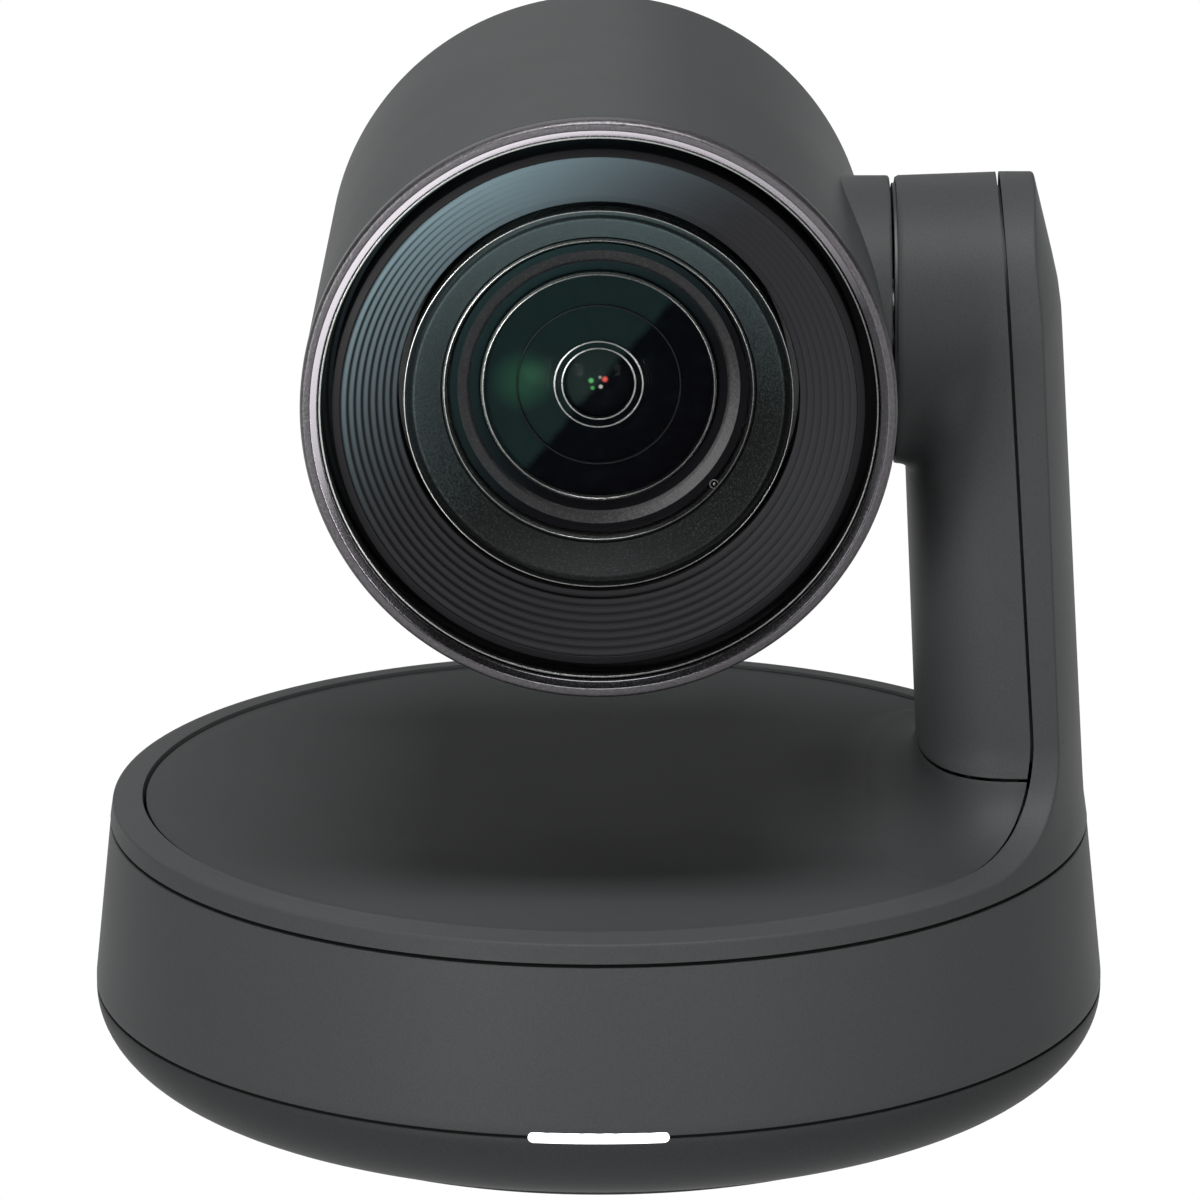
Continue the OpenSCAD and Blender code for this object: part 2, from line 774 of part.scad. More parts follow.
module tilt_pinion() {
    color(steel) translate([0, 0, motor_z]) {
        translate([tilt_gear_x + 0.2, 0, 0]) rotate([0, 90, 0]) rotate(mesh_turn(pinion_teeth))
            linear_extrude(pan_pinion_w) gear_outline(pinion_teeth);
        translate([tilt_gear_x + 1, 0, 0]) rotate([0, 90, 0])
            cylinder(r = motor_shaft_r, h = motor_x + 4 - tilt_gear_x - 1);
    }
}

// ---- head ----

function head_r_at(y) = head_r - head_taper * (y - shell_front_y) / (head_back - shell_front_y);

module head_shell() {
    edge = 2.4;
    back = head_back - 0.6;
    color(charcoal) difference() {
        union() {
            turned_about_lens(concat(
                [[0, shell_front_y], [head_r, shell_front_y], [head_r_at(back - edge), back - edge]],
                [for (a = [15:15:90])
                    [head_r_at(back) - edge * (1 - cos(a)), back - edge * (1 - sin(a))]],
                [[0, back]]));
            along_x(0) cylinder(r = drum_r, h = stub_x);
        }
        turned_about_lens([[0, shell_front_y - cut], [head_r - head_wall, shell_front_y - cut],
            [head_r_at(back) - head_wall, back - head_wall], [0, back - head_wall]]);
        along_x(0) cylinder(r = drum_r - head_wall, h = stub_x - head_wall);
        along_x(0) cylinder(r = shaft_r + 0.4, h = stub_x + 1);
        along_y(back - 10) cylinder(r = cap_r, h = 20);
    }
}

module rear_cap() {
    color(charcoal) {
        turned_about_lens([[0, head_back - 2.4], [cap_r - 0.2, head_back - 2.4],
            [cap_r - 0.2, head_back - 0.9], [cap_r - 1, head_back - 0.4], [0, head_back]]);
        along_y(head_back - 6) tube(cap_r - 1.5, cap_r - 3.2, 4);
    }
}

module head_chassis() {
    ring_y = barrel_front_y + 6;
    ring_r = head_r_at(ring_y) - head_wall - 0.6;
    color(steel) difference() {
        union() {
            along_y(ring_y) tube(ring_r, barrel_r, 2.4);
            translate([flange_x - side_t, -18, tilt_z - 9.5]) cube([side_t, 32, 19]);
            translate([barrel_r + 1, ring_y, tilt_z - 9.5]) cube([flange_x - barrel_r - 1, 3, 19]);
            translate([flange_x - side_t, ring_y, tilt_z - 9.5]) cube([side_t, -18 - ring_y, 19]);
        }
        along_x(flange_x - side_t - cut) cylinder(r = shaft_r - 1.8, h = side_t + 1);
        at_flange_screws() translate([0, 0, -cut - side_t]) cylinder(r = 1, h = side_t + 1);
    }
}

module at_flange_screws() {
    for (a = [0:90:270]) along_x(flange_x) rotate(a + 45) translate([shaft_r + 2.2, 0, 0]) children();
}

module tilt_shaft() {
    color(steel) difference() {
        union() {
            along_x(flange_x) cylinder(r = shaft_r + 4.2, h = 2);
            along_x(flange_x) cylinder(r = shaft_r, h = shaft_end_x - flange_x);
        }
        along_x(flange_x - cut) cylinder(r = shaft_r - 1.8, h = 60);
        at_flange_screws() translate([0, 0, -cut]) cylinder(r = 1, h = 4);
    }
}

module tilt_gear() {
    color([0.88, 0.86, 0.80]) along_x(tilt_gear_x) spur_gear(tilt_teeth, gear_w, shaft_r);
}

module shaft_clip() {
    color(steel) along_x(motor_x + 0.2) tube(shaft_r + 1.5, shaft_r, 0.8);
}

module flange_screws() {
    color(steel) at_flange_screws() {
        translate([0, 0, -side_t - 1.2]) cylinder(r = 1.8, h = 1.2);
        translate([0, 0, -side_t - 0.1]) cylinder(r = 1, h = side_t + 2);
    }
}

module lens_bezel() {
    front = -head_front;
    color([0.16, 0.15, 0.17]) turned_about_lens([
        [trim_r, front], [head_r - 0.5, front], [head_r, front + 0.9], [head_r, front + bezel_len],
        [head_r - head_wall - 0.1, front + bezel_len], [head_r - head_wall - 0.3, front + 9],
        [head_r - head_wall - 1.6, front + 9], [head_r - head_wall - 1.6, front + bezel_len],
        [trim_r, front + bezel_len]]);
}

module bezel_trim() {
    front = -head_front;
    color([0.62, 0.60, 0.64]) turned_about_lens([
        [trim_r, front], [trim_in_r, front + 1.2], [trim_in_r, front + 2.6], [trim_r, front + 2.6]]);
}

// Hood in front of the glass, with fine steps against stray light
module baffle_cone() {
    run = (hood_r - hood_back_r) / baffle_steps;
    rise = (hood_back_y - hood_front_y) / baffle_steps;
    steps = [for (i = [0:baffle_steps - 1]) each [
        [hood_r - i * run, hood_front_y + (i + 0.35) * rise],
        [hood_r - (i + 1) * run, hood_front_y + (i + 1.0) * rise]]];
    flange_y = -head_front + 9;
    color(black) turned_about_lens(concat(
        [[hood_r + 1.2, hood_front_y], [hood_r, hood_front_y]], steps,
        [[hood_back_r, hood_back_y + 4], [hood_back_r + 2, hood_back_y + 4],
         [hood_back_r + 2, flange_y + 2], [trim_r - 1.3, flange_y + 2], [trim_r - 1.3, flange_y],
         [hood_r + 1.2, flange_y]]));
}

module lens_ring() {
    front = -head_front + 7;
    color(black) turned_about_lens([
        [ring_out_r, front], [ring_out_r - 1.2, front], [glass_r + 0.6, glass_y - 0.4],
        [glass_r + 0.6, glass_y + 2.5], [barrel_r, glass_y + 2.5], [barrel_r, glass_y + 5],
        [ring_out_r, glass_y + 5]]);
}

module front_glass() {
    depth = sqrt(pow(glass_dome_r, 2) - pow(glass_r, 2));
    color(glass_tint) intersection() {
        along_y(glass_y + depth) sphere(r = glass_dome_r);
        along_y(glass_y - 30) cylinder(r = glass_r, h = 31.5);
    }
}

module glass_retainer() {
    color(black) turned_about_lens([
        [glass_r + 0.6, glass_y - 0.5], [glass_r + 0.02, glass_y - 0.1],
        [glass_r + 0.02, glass_y + 1.5], [glass_r + 0.6, glass_y + 1.5]]);
}

module inner_glass() {
    color(glass_tint) along_y(barrel_front_y + 1) cylinder(r = barrel_bore_r, h = 5);
}

module lens_barrel() {
    len = barrel_back_y + barrel_back_t - barrel_front_y;
    color(black) difference() {
        along_y(barrel_front_y) cylinder(r = barrel_r, h = len);
        along_y(barrel_front_y - cut) cylinder(r = group_r - 3, h = 2);
        along_y(barrel_front_y + 1) cylinder(r = barrel_bore_r, h = len - 1 - barrel_back_t);
        along_y(barrel_front_y) cylinder(r = 8.2, h = len + 2);
    }
}

module at_rods(y) {
    for (side = [-1, 1]) translate([0, y, tilt_z + side * rod_at]) rotate([-90, 0, 0]) children();
}

module guide_rods() {
    color(steel) at_rods(barrel_front_y + 6.5) cylinder(r = rod_r, h = barrel_back_y - barrel_front_y - 6.5);
}

module aperture_ring() {
    color(black) difference() {
        along_y(aperture_y) tube(barrel_bore_r, 7, aperture_t);
        at_rods(aperture_y - cut) cylinder(r = rod_r, h = aperture_t + 1);
    }
}

// Curved magnets on both sides of the barrel's bore, which drive the two groups
module drive_magnets() {
    for (side = [0, 180]) color(steel) along_y(zoom_y - 1) rotate(side - 20)
        rotate_extrude(angle = 40) translate([group_r + 0.5, 0])
            square([barrel_bore_r - group_r - 0.5, aperture_y - zoom_y]);
    for (side = [0, 180]) color(steel) along_y(focus_y - 0.5) rotate(side - 20)
        rotate_extrude(angle = 40) translate([group_r + 0.5, 0])
            square([barrel_bore_r - group_r - 0.5, focus_len + focus_travel]);
}

module image_sensor() {
    color(black) translate([-6, sensor_y - 1.4, tilt_z - 4.5]) cube([12, 1.4, 9]);
}

module sensor_board() {
    color(board_green) translate([-17, sensor_y, tilt_z - 17]) cube([34, board_t, 34]);
}

module processor_board() {
    color(board_green) union() {
        translate([-24, sensor_y + 5, tilt_z - 22]) cube([48, board_t, 44]);
        translate([-8, sensor_y + 5 + board_t - 0.1, tilt_z - 8]) cube([16, 1.5, 16]);
    }
}

module heat_plate() {
    color([0.75, 0.76, 0.78]) translate([-20, sensor_y + 6.4 + board_t, tilt_z - 18])
        cube([40, 1.6, 36]);
}

// A sliding ring that carries a lens on the two rods
module group_carrier(y, h, lens_r) {
    color(black) difference() {
        along_y(y) cylinder(r = group_r, h = h);
        along_y(y - cut) cylinder(r = lens_r, h = h + 1);
        at_rods(y - cut) cylinder(r = rod_r + run_clear, h = h + 1);
    }
}

module zoom_carrier() {
    group_carrier(zoom_y, zoom_len, zoom_lens_r);
}

module zoom_lens() {
    color(glass_tint) along_y(zoom_y + 1) cylinder(r = zoom_lens_r, h = zoom_len - 2);
}

module focus_carrier() {
    group_carrier(focus_y, focus_len, focus_lens_r);
}

module focus_lens() {
    color(glass_tint) along_y(focus_y + 0.8) cylinder(r = focus_lens_r, h = focus_len - 1.6);
}

lower_shell();
foot_ring();
tripod_insert();
base_screws();
ballast_plate();
ring_shell();
light_bar();
light_board();
port_panel();
power_jack();
usb_port();
video_port();
lock_plate();
main_board();
board_pillars();
pan_post();
glide_washer();
post_clip();
pan_motor();
reset_button();
pan_pinion();
top_plate();
outer_shell();
inner_cover();
pan_carrier();
pan_bush();
pan_gear();
carrier_screws();
arm_chassis();
tilt_bushes();
tilt_motor();
arm_screws();
arm_cable();
tilt_pinion();
head_shell();
rear_cap();
head_chassis();
tilt_shaft();
tilt_gear();
shaft_clip();
flange_screws();
lens_bezel();
bezel_trim();
baffle_cone();
lens_ring();
front_glass();
glass_retainer();
inner_glass();
lens_barrel();
guide_rods();
aperture_ring();
drive_magnets();
image_sensor();
sensor_board();
processor_board();
heat_plate();
zoom_carrier();
zoom_lens();
focus_carrier();
focus_lens();
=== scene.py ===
"""Looks of a table-top pan and tilt camera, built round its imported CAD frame.

The moulded covers, the lens and the outside of the base are modelled here at the places that the
CAD nodes give. The works inside keep their CAD meshes and get finishes of their own.
"""

import json
import logging
import math
from collections.abc import Callable, Iterable, Sequence
from dataclasses import dataclass
from enum import Enum

import bmesh
import bpy
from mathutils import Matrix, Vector


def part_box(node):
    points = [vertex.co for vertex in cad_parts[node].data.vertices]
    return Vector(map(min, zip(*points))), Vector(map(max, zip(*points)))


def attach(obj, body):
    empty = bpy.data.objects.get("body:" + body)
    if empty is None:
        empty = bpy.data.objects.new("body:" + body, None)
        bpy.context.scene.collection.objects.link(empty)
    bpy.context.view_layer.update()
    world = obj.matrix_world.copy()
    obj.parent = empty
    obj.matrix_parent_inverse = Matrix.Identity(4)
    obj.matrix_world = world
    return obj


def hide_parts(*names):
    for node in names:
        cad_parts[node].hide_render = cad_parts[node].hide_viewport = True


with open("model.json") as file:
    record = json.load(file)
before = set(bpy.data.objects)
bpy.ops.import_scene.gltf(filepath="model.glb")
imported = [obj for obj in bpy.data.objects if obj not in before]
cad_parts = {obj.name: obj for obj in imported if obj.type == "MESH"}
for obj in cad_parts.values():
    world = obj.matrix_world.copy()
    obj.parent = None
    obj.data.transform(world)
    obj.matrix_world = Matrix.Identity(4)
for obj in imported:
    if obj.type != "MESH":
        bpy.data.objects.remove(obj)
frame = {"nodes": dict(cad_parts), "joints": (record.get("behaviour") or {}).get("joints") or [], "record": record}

LOG = logging.getLogger("camera_looks")
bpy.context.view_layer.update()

MM = 0.001
WELD = 2e-6
HOOD_R = 37.2
HOOD_BACK_R = 29.0
HOOD_STEPS = 8

Point = tuple[float, float]
Point3 = tuple[float, float, float]
Corner = tuple[float, float, float]


class Slot(Enum):
    """Material slots of the record that new pieces are listed with."""

    SHELL = "shell_plastic"
    BLACK = "black_plastic"
    FOOT = "foot_rubber"
    BEZEL = "bezel_metal"
    TRIM = "trim_metal"
    GLASS = "coated_glass"
    LIGHT = "light_diffuser"


class Body(Enum):
    """Bodies of the frame that new pieces ride on."""

    BASE = "base"
    TOP = "turntable"
    HEAD = "head"


class Turn(Enum):
    """Axis that an outline is revolved about."""

    UPRIGHT = "z"
    LENS = "y"
    TILT = "x"


# ---- sizes read from the frame ----


def low(node: str) -> Vector:
    """Lowest corner of a CAD node, in millimetres."""
    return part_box(node)[0] / MM


def high(node: str) -> Vector:
    """Highest corner of a CAD node, in millimetres."""
    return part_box(node)[1] / MM


def joint_height(name: str) -> float:
    """Height of a hinge above the table, in millimetres."""
    joint = next(j for j in frame["joints"] if j["name"] == name)
    return joint["pos_m"][2] / MM


@dataclass(frozen=True)
class Frame:
    """Sizes in millimetres that several sub-assemblies share."""

    tilt_z: float = joint_height("tilt")
    base_r: float = high("lower_shell").x
    seam_z: float = low("ring_shell").z - 0.3
    ring_top_z: float = high("ring_shell").z
    rim_z: float = high("ring_shell").z + 0.6
    arm_top_z: float = high("outer_shell").z
    drum_x: float = low("inner_cover").x
    front_y: float = low("lens_bezel").y
    back_y: float = high("rear_cap").y
    head_r: float = high("lens_bezel").x
    floor_z: float = low("lower_shell").z

    @property
    def rim_r(self) -> float:
        """Radius at the upper seam."""
        return self.base_r - 2.4

    @property
    def rim_top_z(self) -> float:
        """Height of the rim's inner edge."""
        return self.rim_z + 3.4


SIZES = Frame()


# ---- finishes ----


class Shader:
    """Builds one procedural material on Object coordinates."""

    def __init__(self, name: str) -> None:
        """Starts a material with an empty Principled surface.

        Args:
            name: Name of the material.
        """
        self.material = bpy.data.materials.new(name)
        self.material.use_nodes = True
        self.tree = self.material.node_tree
        self.surface = self.tree.nodes["Principled BSDF"]
        self.place = self.node("ShaderNodeTexCoord").outputs["Object"]

    def node(self, kind: str, **inputs: object) -> bpy.types.Node:
        """Adds a node and sets or links its inputs.

        Args:
            kind: Type name of the node.
            inputs: Values or output sockets, with spaces in a socket's name written as underscores.

        Returns:
            The new node.
        """
        new = self.tree.nodes.new(kind)
        for key, value in inputs.items():
            self.feed(new, key.replace("_", " "), value)
        return new

    def feed(self, target: bpy.types.Node, key: str | int, value: object) -> None:
        """Sets an input to a value, or links an output socket to it.

        Args:
            target: Node that is fed.
            key: Name or number of its input.
            value: Number, colour or output socket.
        """
        socket = target.inputs[key]
        if isinstance(value, bpy.types.NodeSocket):
            self.tree.links.new(value, socket)
        else:
            socket.default_value = value

    def set(self, key: str, value: object) -> None:
        """Sets or links an input of the surface."""
        self.feed(self.surface, key, value)

    def noise(self, per_mm: float, detail: float = 2.0, rough: float = 0.5) -> bpy.types.NodeSocket:
        """Adds a noise pattern.

        Args:
            per_mm: How many times the pattern repeats in a millimetre.
            detail: Number of finer layers.
            rough: Share of the finer layers.

        Returns:
            The pattern's value, about 0.5.
        """
        made = self.node("ShaderNodeTexNoise", Vector=self.place, Scale=per_mm / MM,
                         Detail=detail, Roughness=rough)
        return made.outputs["Fac"]

    def spread(self, value: bpy.types.NodeSocket, low_out: float, high_out: float,
               low_in: float = 0.3, high_in: float = 0.7) -> bpy.types.NodeSocket:
        """Maps a pattern to a range of values.

        Args:
            value: The pattern.
            low_out: Result at the low end.
            high_out: Result at the high end.
            low_in: Low end of the pattern.
            high_in: High end of the pattern.

        Returns:
            The mapped value.
        """
        made = self.node("ShaderNodeMapRange", Value=value, From_Min=low_in, From_Max=high_in,
                         To_Min=low_out, To_Max=high_out)
        return made.outputs["Result"]

    def tint(self, value: bpy.types.NodeSocket, dark: Sequence[float], pale: Sequence[float],
             low_in: float = 0.3, high_in: float = 0.7) -> bpy.types.NodeSocket:
        """Colours a pattern between two colours.

        Args:
            value: The pattern.
            dark: Colour at the low end.
            pale: Colour at the high end.
            low_in: Low end of the pattern.
            high_in: High end of the pattern.

        Returns:
            The colour.
        """
        ramp = self.node("ShaderNodeValToRGB", Fac=value)
        for index, (place, colour) in enumerate(((low_in, dark), (high_in, pale))):
            ramp.color_ramp.elements[index].position = place
            ramp.color_ramp.elements[index].color = (*colour, 1.0)
        return ramp.outputs["Color"]

    def maths(self, operation: str, first: object, second: object = 0.0) -> bpy.types.NodeSocket:
        """Adds a sum on one or two values.

        Args:
            operation: Kind of the sum.
            first: Number or socket.
            second: Number or socket.

        Returns:
            The result.
        """
        made = self.node("ShaderNodeMath")
        made.operation = operation
        self.feed(made, 0, first)
        self.feed(made, 1, second)
        return made.outputs["Value"]

    def scaled(self, colour: bpy.types.NodeSocket,
               share: bpy.types.NodeSocket) -> bpy.types.NodeSocket:
        """Scales a colour by a value."""
        made = self.node("ShaderNodeVectorMath", Vector=colour)
        made.operation = "SCALE"
        self.feed(made, "Scale", share)
        return made.outputs["Vector"]

    def added(self, first: bpy.types.NodeSocket,
              second: bpy.types.NodeSocket) -> bpy.types.NodeSocket:
        """Adds two colours."""
        made = self.node("ShaderNodeMix")
        made.data_type, made.blend_type = "RGBA", "ADD"
        factor, colour_a, colour_b, result = 0, 6, 7, 2
        self.feed(made, factor, 1.0)
        self.feed(made, colour_a, first)
        self.feed(made, colour_b, second)
        return made.outputs[result]

    def off_axis(self, across: float, up: float) -> tuple[bpy.types.NodeSocket, ...]:
        """Place square to the lens axis, measured from a point beside it.

        Args:
            across: The point's distance from the axis along X, in millimetres.
            up: The point's height over the axis, in millimetres.

        Returns:
            X and Z in millimetres, and the distance from the point.
        """
        split = self.node("ShaderNodeSeparateXYZ", Vector=self.place)
        x = self.maths("SUBTRACT", self.maths("MULTIPLY", split.outputs["X"], 1 / MM), across)
        z = self.maths("SUBTRACT", self.maths("MULTIPLY", split.outputs["Z"], 1 / MM),
                       SIZES.tilt_z + up)
        square = self.maths("ADD", self.maths("MULTIPLY", x, x), self.maths("MULTIPLY", z, z))
        return x, z, self.maths("SQRT", square)

    def slant(self, angle: float, start: float, end: float) -> bpy.types.NodeSocket:
        """Ramp from 0 to 1 across the lens.

        Args:
            angle: Direction of the rise in degrees, from +X towards +Z.
            start: Distance from the axis where it starts, in millimetres.
            end: Distance from the axis where it ends, in millimetres.

        Returns:
            The ramp.
        """
        x, z, _ = self.off_axis(0.0, 0.0)
        along = self.maths("ADD", self.maths("MULTIPLY", x, math.cos(math.radians(angle))),
                           self.maths("MULTIPLY", z, math.sin(math.radians(angle))))
        return self.spread(along, 0.0, 1.0, start, end)

    def raise_by(self, value: bpy.types.NodeSocket, height_mm: float) -> None:
        """Lets a pattern raise the surface.

        Args:
            value: The pattern.
            height_mm: Height of the pattern's full range, in millimetres.
        """
        bump = self.node("ShaderNodeBump", Height=value, Strength=1.0, Distance=height_mm * MM)
        self.set("Normal", bump.outputs["Normal"])


@dataclass(frozen=True)
class Moulded:
    """Moulded plastic with a fine eroded grain."""

    name: str
    dark: Point3
    pale: Point3
    smooth: float
    rough: float
    grain_per_mm: float = 3.5
    grain_mm: float = 0.02
    specular: float = 0.5

    def make(self) -> bpy.types.Material:
        """Builds the material."""
        shader = Shader(self.name)
        grain = shader.noise(self.grain_per_mm, 3.0, 0.6)
        cloud = shader.noise(0.05, 2.0)
        shader.set("Base Color", shader.tint(grain, self.dark, self.pale))
        shader.set("Roughness", shader.spread(cloud, self.smooth, self.rough))
        shader.set("Specular IOR Level", self.specular)
        shader.raise_by(grain, self.grain_mm)
        return shader.material


@dataclass(frozen=True)
class Metal:
    """Metal that is cast, drawn, plated or turned."""

    name: str
    dark: Point3
    pale: Point3
    smooth: float
    rough: float
    grain_per_mm: float = 2.0
    grain_mm: float = 0.01
    metallic: float = 1.0

    def make(self) -> bpy.types.Material:
        """Builds the material."""
        shader = Shader(self.name)
        grain = shader.noise(self.grain_per_mm, 4.0, 0.65)
        shader.set("Metallic", self.metallic)
        shader.set("Base Color", shader.tint(grain, self.dark, self.pale))
        shader.set("Roughness", shader.spread(grain, self.smooth, self.rough))
        shader.raise_by(grain, self.grain_mm)
        return shader.material


@dataclass(frozen=True)
class Glass:
    """Coated front glass: a thin clear dome with a weak painted reflection, a teal tint and a stronger sheen on
    its upper-left side.
    """

    name: str
    dark: Point3
    pale: Point3
    shine: float

    def make(self) -> bpy.types.Material:
        """Builds the material."""
        shader = Shader(self.name)
        # Painted reflection: the ramp tints the upper-left side teal and makes it more opaque.
        side = shader.slant(135, -20, 20)
        shader.set("Base Color", shader.tint(side, self.dark, self.pale, 0.2, 0.9))
        shader.set("Roughness", 0.06)
        shader.set("Specular IOR Level", 0.08)
        shader.set("Alpha", shader.spread(side, self.shine * 0.6, self.shine, 0.0, 1.0))
        return shader.material


@dataclass(frozen=True)
class LensBlack:
    """Dark coating of the lens parts, with painted light: a tint on the side that faces the light."""

    name: str
    dark: Point3
    painted_light_tint: Point3
    # angle, start and end place the ramp of the painted light, and power shapes it.
    angle: float
    start: float
    end: float
    smooth: float = 0.4
    grain_per_mm: float = 5.0
    grain_mm: float = 0.01
    specular: float = 0.3
    speckle: float = 0.0
    metallic: float = 0.0
    power: float = 1.0
    ridge_r: float = 0.0
    ridge_pitch: float = 1.0

    def make(self) -> bpy.types.Material:
        """Builds the material."""
        shader = Shader(self.name)
        grain = shader.noise(self.grain_per_mm, 3.0, 0.6)
        # Painted light: a ramp across the lens that tints the side facing the light.
        side = shader.maths("POWER", shader.slant(self.angle, self.start, self.end), self.power)
        spots = shader.spread(grain, -self.speckle, self.speckle)
        colour = shader.tint(shader.maths("ADD", side, spots), self.dark, self.painted_light_tint, 0.0, 1.0)
        # Painted shade in the grooves of the ridges.
        if self.ridge_r > 0:
            colour = self.paint_groove_shade(shader, colour)
        shader.set("Base Color", colour)
        shader.set("Metallic", self.metallic)
        shader.set("Roughness", shader.spread(grain, self.smooth, self.smooth + 0.1))
        shader.set("Specular IOR Level", self.specular)
        shader.raise_by(grain, self.grain_mm)
        return shader.material

    def paint_groove_shade(self, shader: Shader, colour: bpy.types.NodeSocket) -> bpy.types.NodeSocket:
        """Paints shade into the bottoms of the ridges, most of all on the lower side.

        Args:
            shader: The material in the making.
            colour: Its colour so far.

        Returns:
            The colour with the painted shade.
        """
        _, _, far = shader.off_axis(0.0, 0.0)
        wave = shader.maths("PINGPONG", shader.maths("SUBTRACT", self.ridge_r, far),
                            self.ridge_pitch / 2)
        crest = shader.spread(wave, 0.0, 1.0, 0.10, 0.34)
        # The painted shade is strongest on the lower side.
        depth = shader.maths("MULTIPLY", shader.slant(-135, -12, 12), 0.9)
        keep = shader.maths("SUBTRACT", 1.0, shader.maths(
            "MULTIPLY", depth, shader.maths("SUBTRACT", 1.0, crest)))
        return shader.scaled(colour, keep)


@dataclass(frozen=True)
class DeepLens:
    """Innermost lens: nearly black, with a painted reflection on one side and painted coloured glints that glow,
    standing for the elements behind it.
    """

    name: str
    dark: Point3
    painted_light_tint: Point3
    # Painted glints: place across, place up, size and colour of each glowing spot.
    glints: tuple[tuple[float, float, float, Point3], ...]
    smooth: float = 0.08

    def make(self) -> bpy.types.Material:
        """Builds the material."""
        shader = Shader(self.name)
        # Painted reflection: a tint on the upper-left side of the lens.
        side = shader.slant(140, -0.6, 0.6)
        cloud = shader.spread(shader.noise(0.4), -0.1, 0.1)
        shader.set("Base Color", shader.tint(shader.maths("ADD", side, cloud), self.dark,
                                             self.painted_light_tint, 0.0, 1.0))
        shader.set("Roughness", self.smooth)
        shader.set("Specular IOR Level", 0.008)
        # The painted glints glow through Emission, though the lens is no lamp.
        glow = None
        for across, up, size, colour in self.glints:
            _, _, far = shader.off_axis(across, up)
            spot = shader.tint(shader.spread(far, 1.0, 0.0, size * 0.3, size), (0, 0, 0), colour,
                               0.0, 1.0)
            glow = spot if glow is None else shader.added(glow, spot)
        shader.set("Emission Color", glow)
        shader.set("Emission Strength", 1.0)
        return shader.material


@dataclass(frozen=True)
class Lamp:
    """White diffuser that shines."""

    name: str
    colour: Point3
    power: float

    def make(self) -> bpy.types.Material:
        """Builds the material."""
        shader = Shader(self.name)
        cloud = shader.noise(0.2, 2.0)
        shader.set("Base Color", shader.tint(cloud, (0.85, 0.87, 0.9), (0.95, 0.96, 0.98)))
        shader.set("Roughness", 0.35)
        shader.set("Emission Color", (*self.colour, 1.0))
        shader.set("Emission Strength", self.power)
        return shader.material


@dataclass(frozen=True)
class Board:
    """Circuit board under green lacquer, with paler copper areas."""

    name: str
    dark: Point3
    pale: Point3

    def make(self) -> bpy.types.Material:
        """Builds the material."""
        shader = Shader(self.name)
        cells = shader.node("ShaderNodeTexVoronoi", Vector=shader.place, Scale=0.35 / MM)
        edge = shader.spread(cells.outputs["Distance"], 0.0, 1.0, 0.2, 0.6)
        shader.set("Base Color", shader.tint(edge, self.dark, self.pale, 0.2, 0.8))
        shader.set("Roughness", shader.spread(shader.noise(1.0), 0.3, 0.45))
        shader.raise_by(edge, 0.02)
        return shader.material


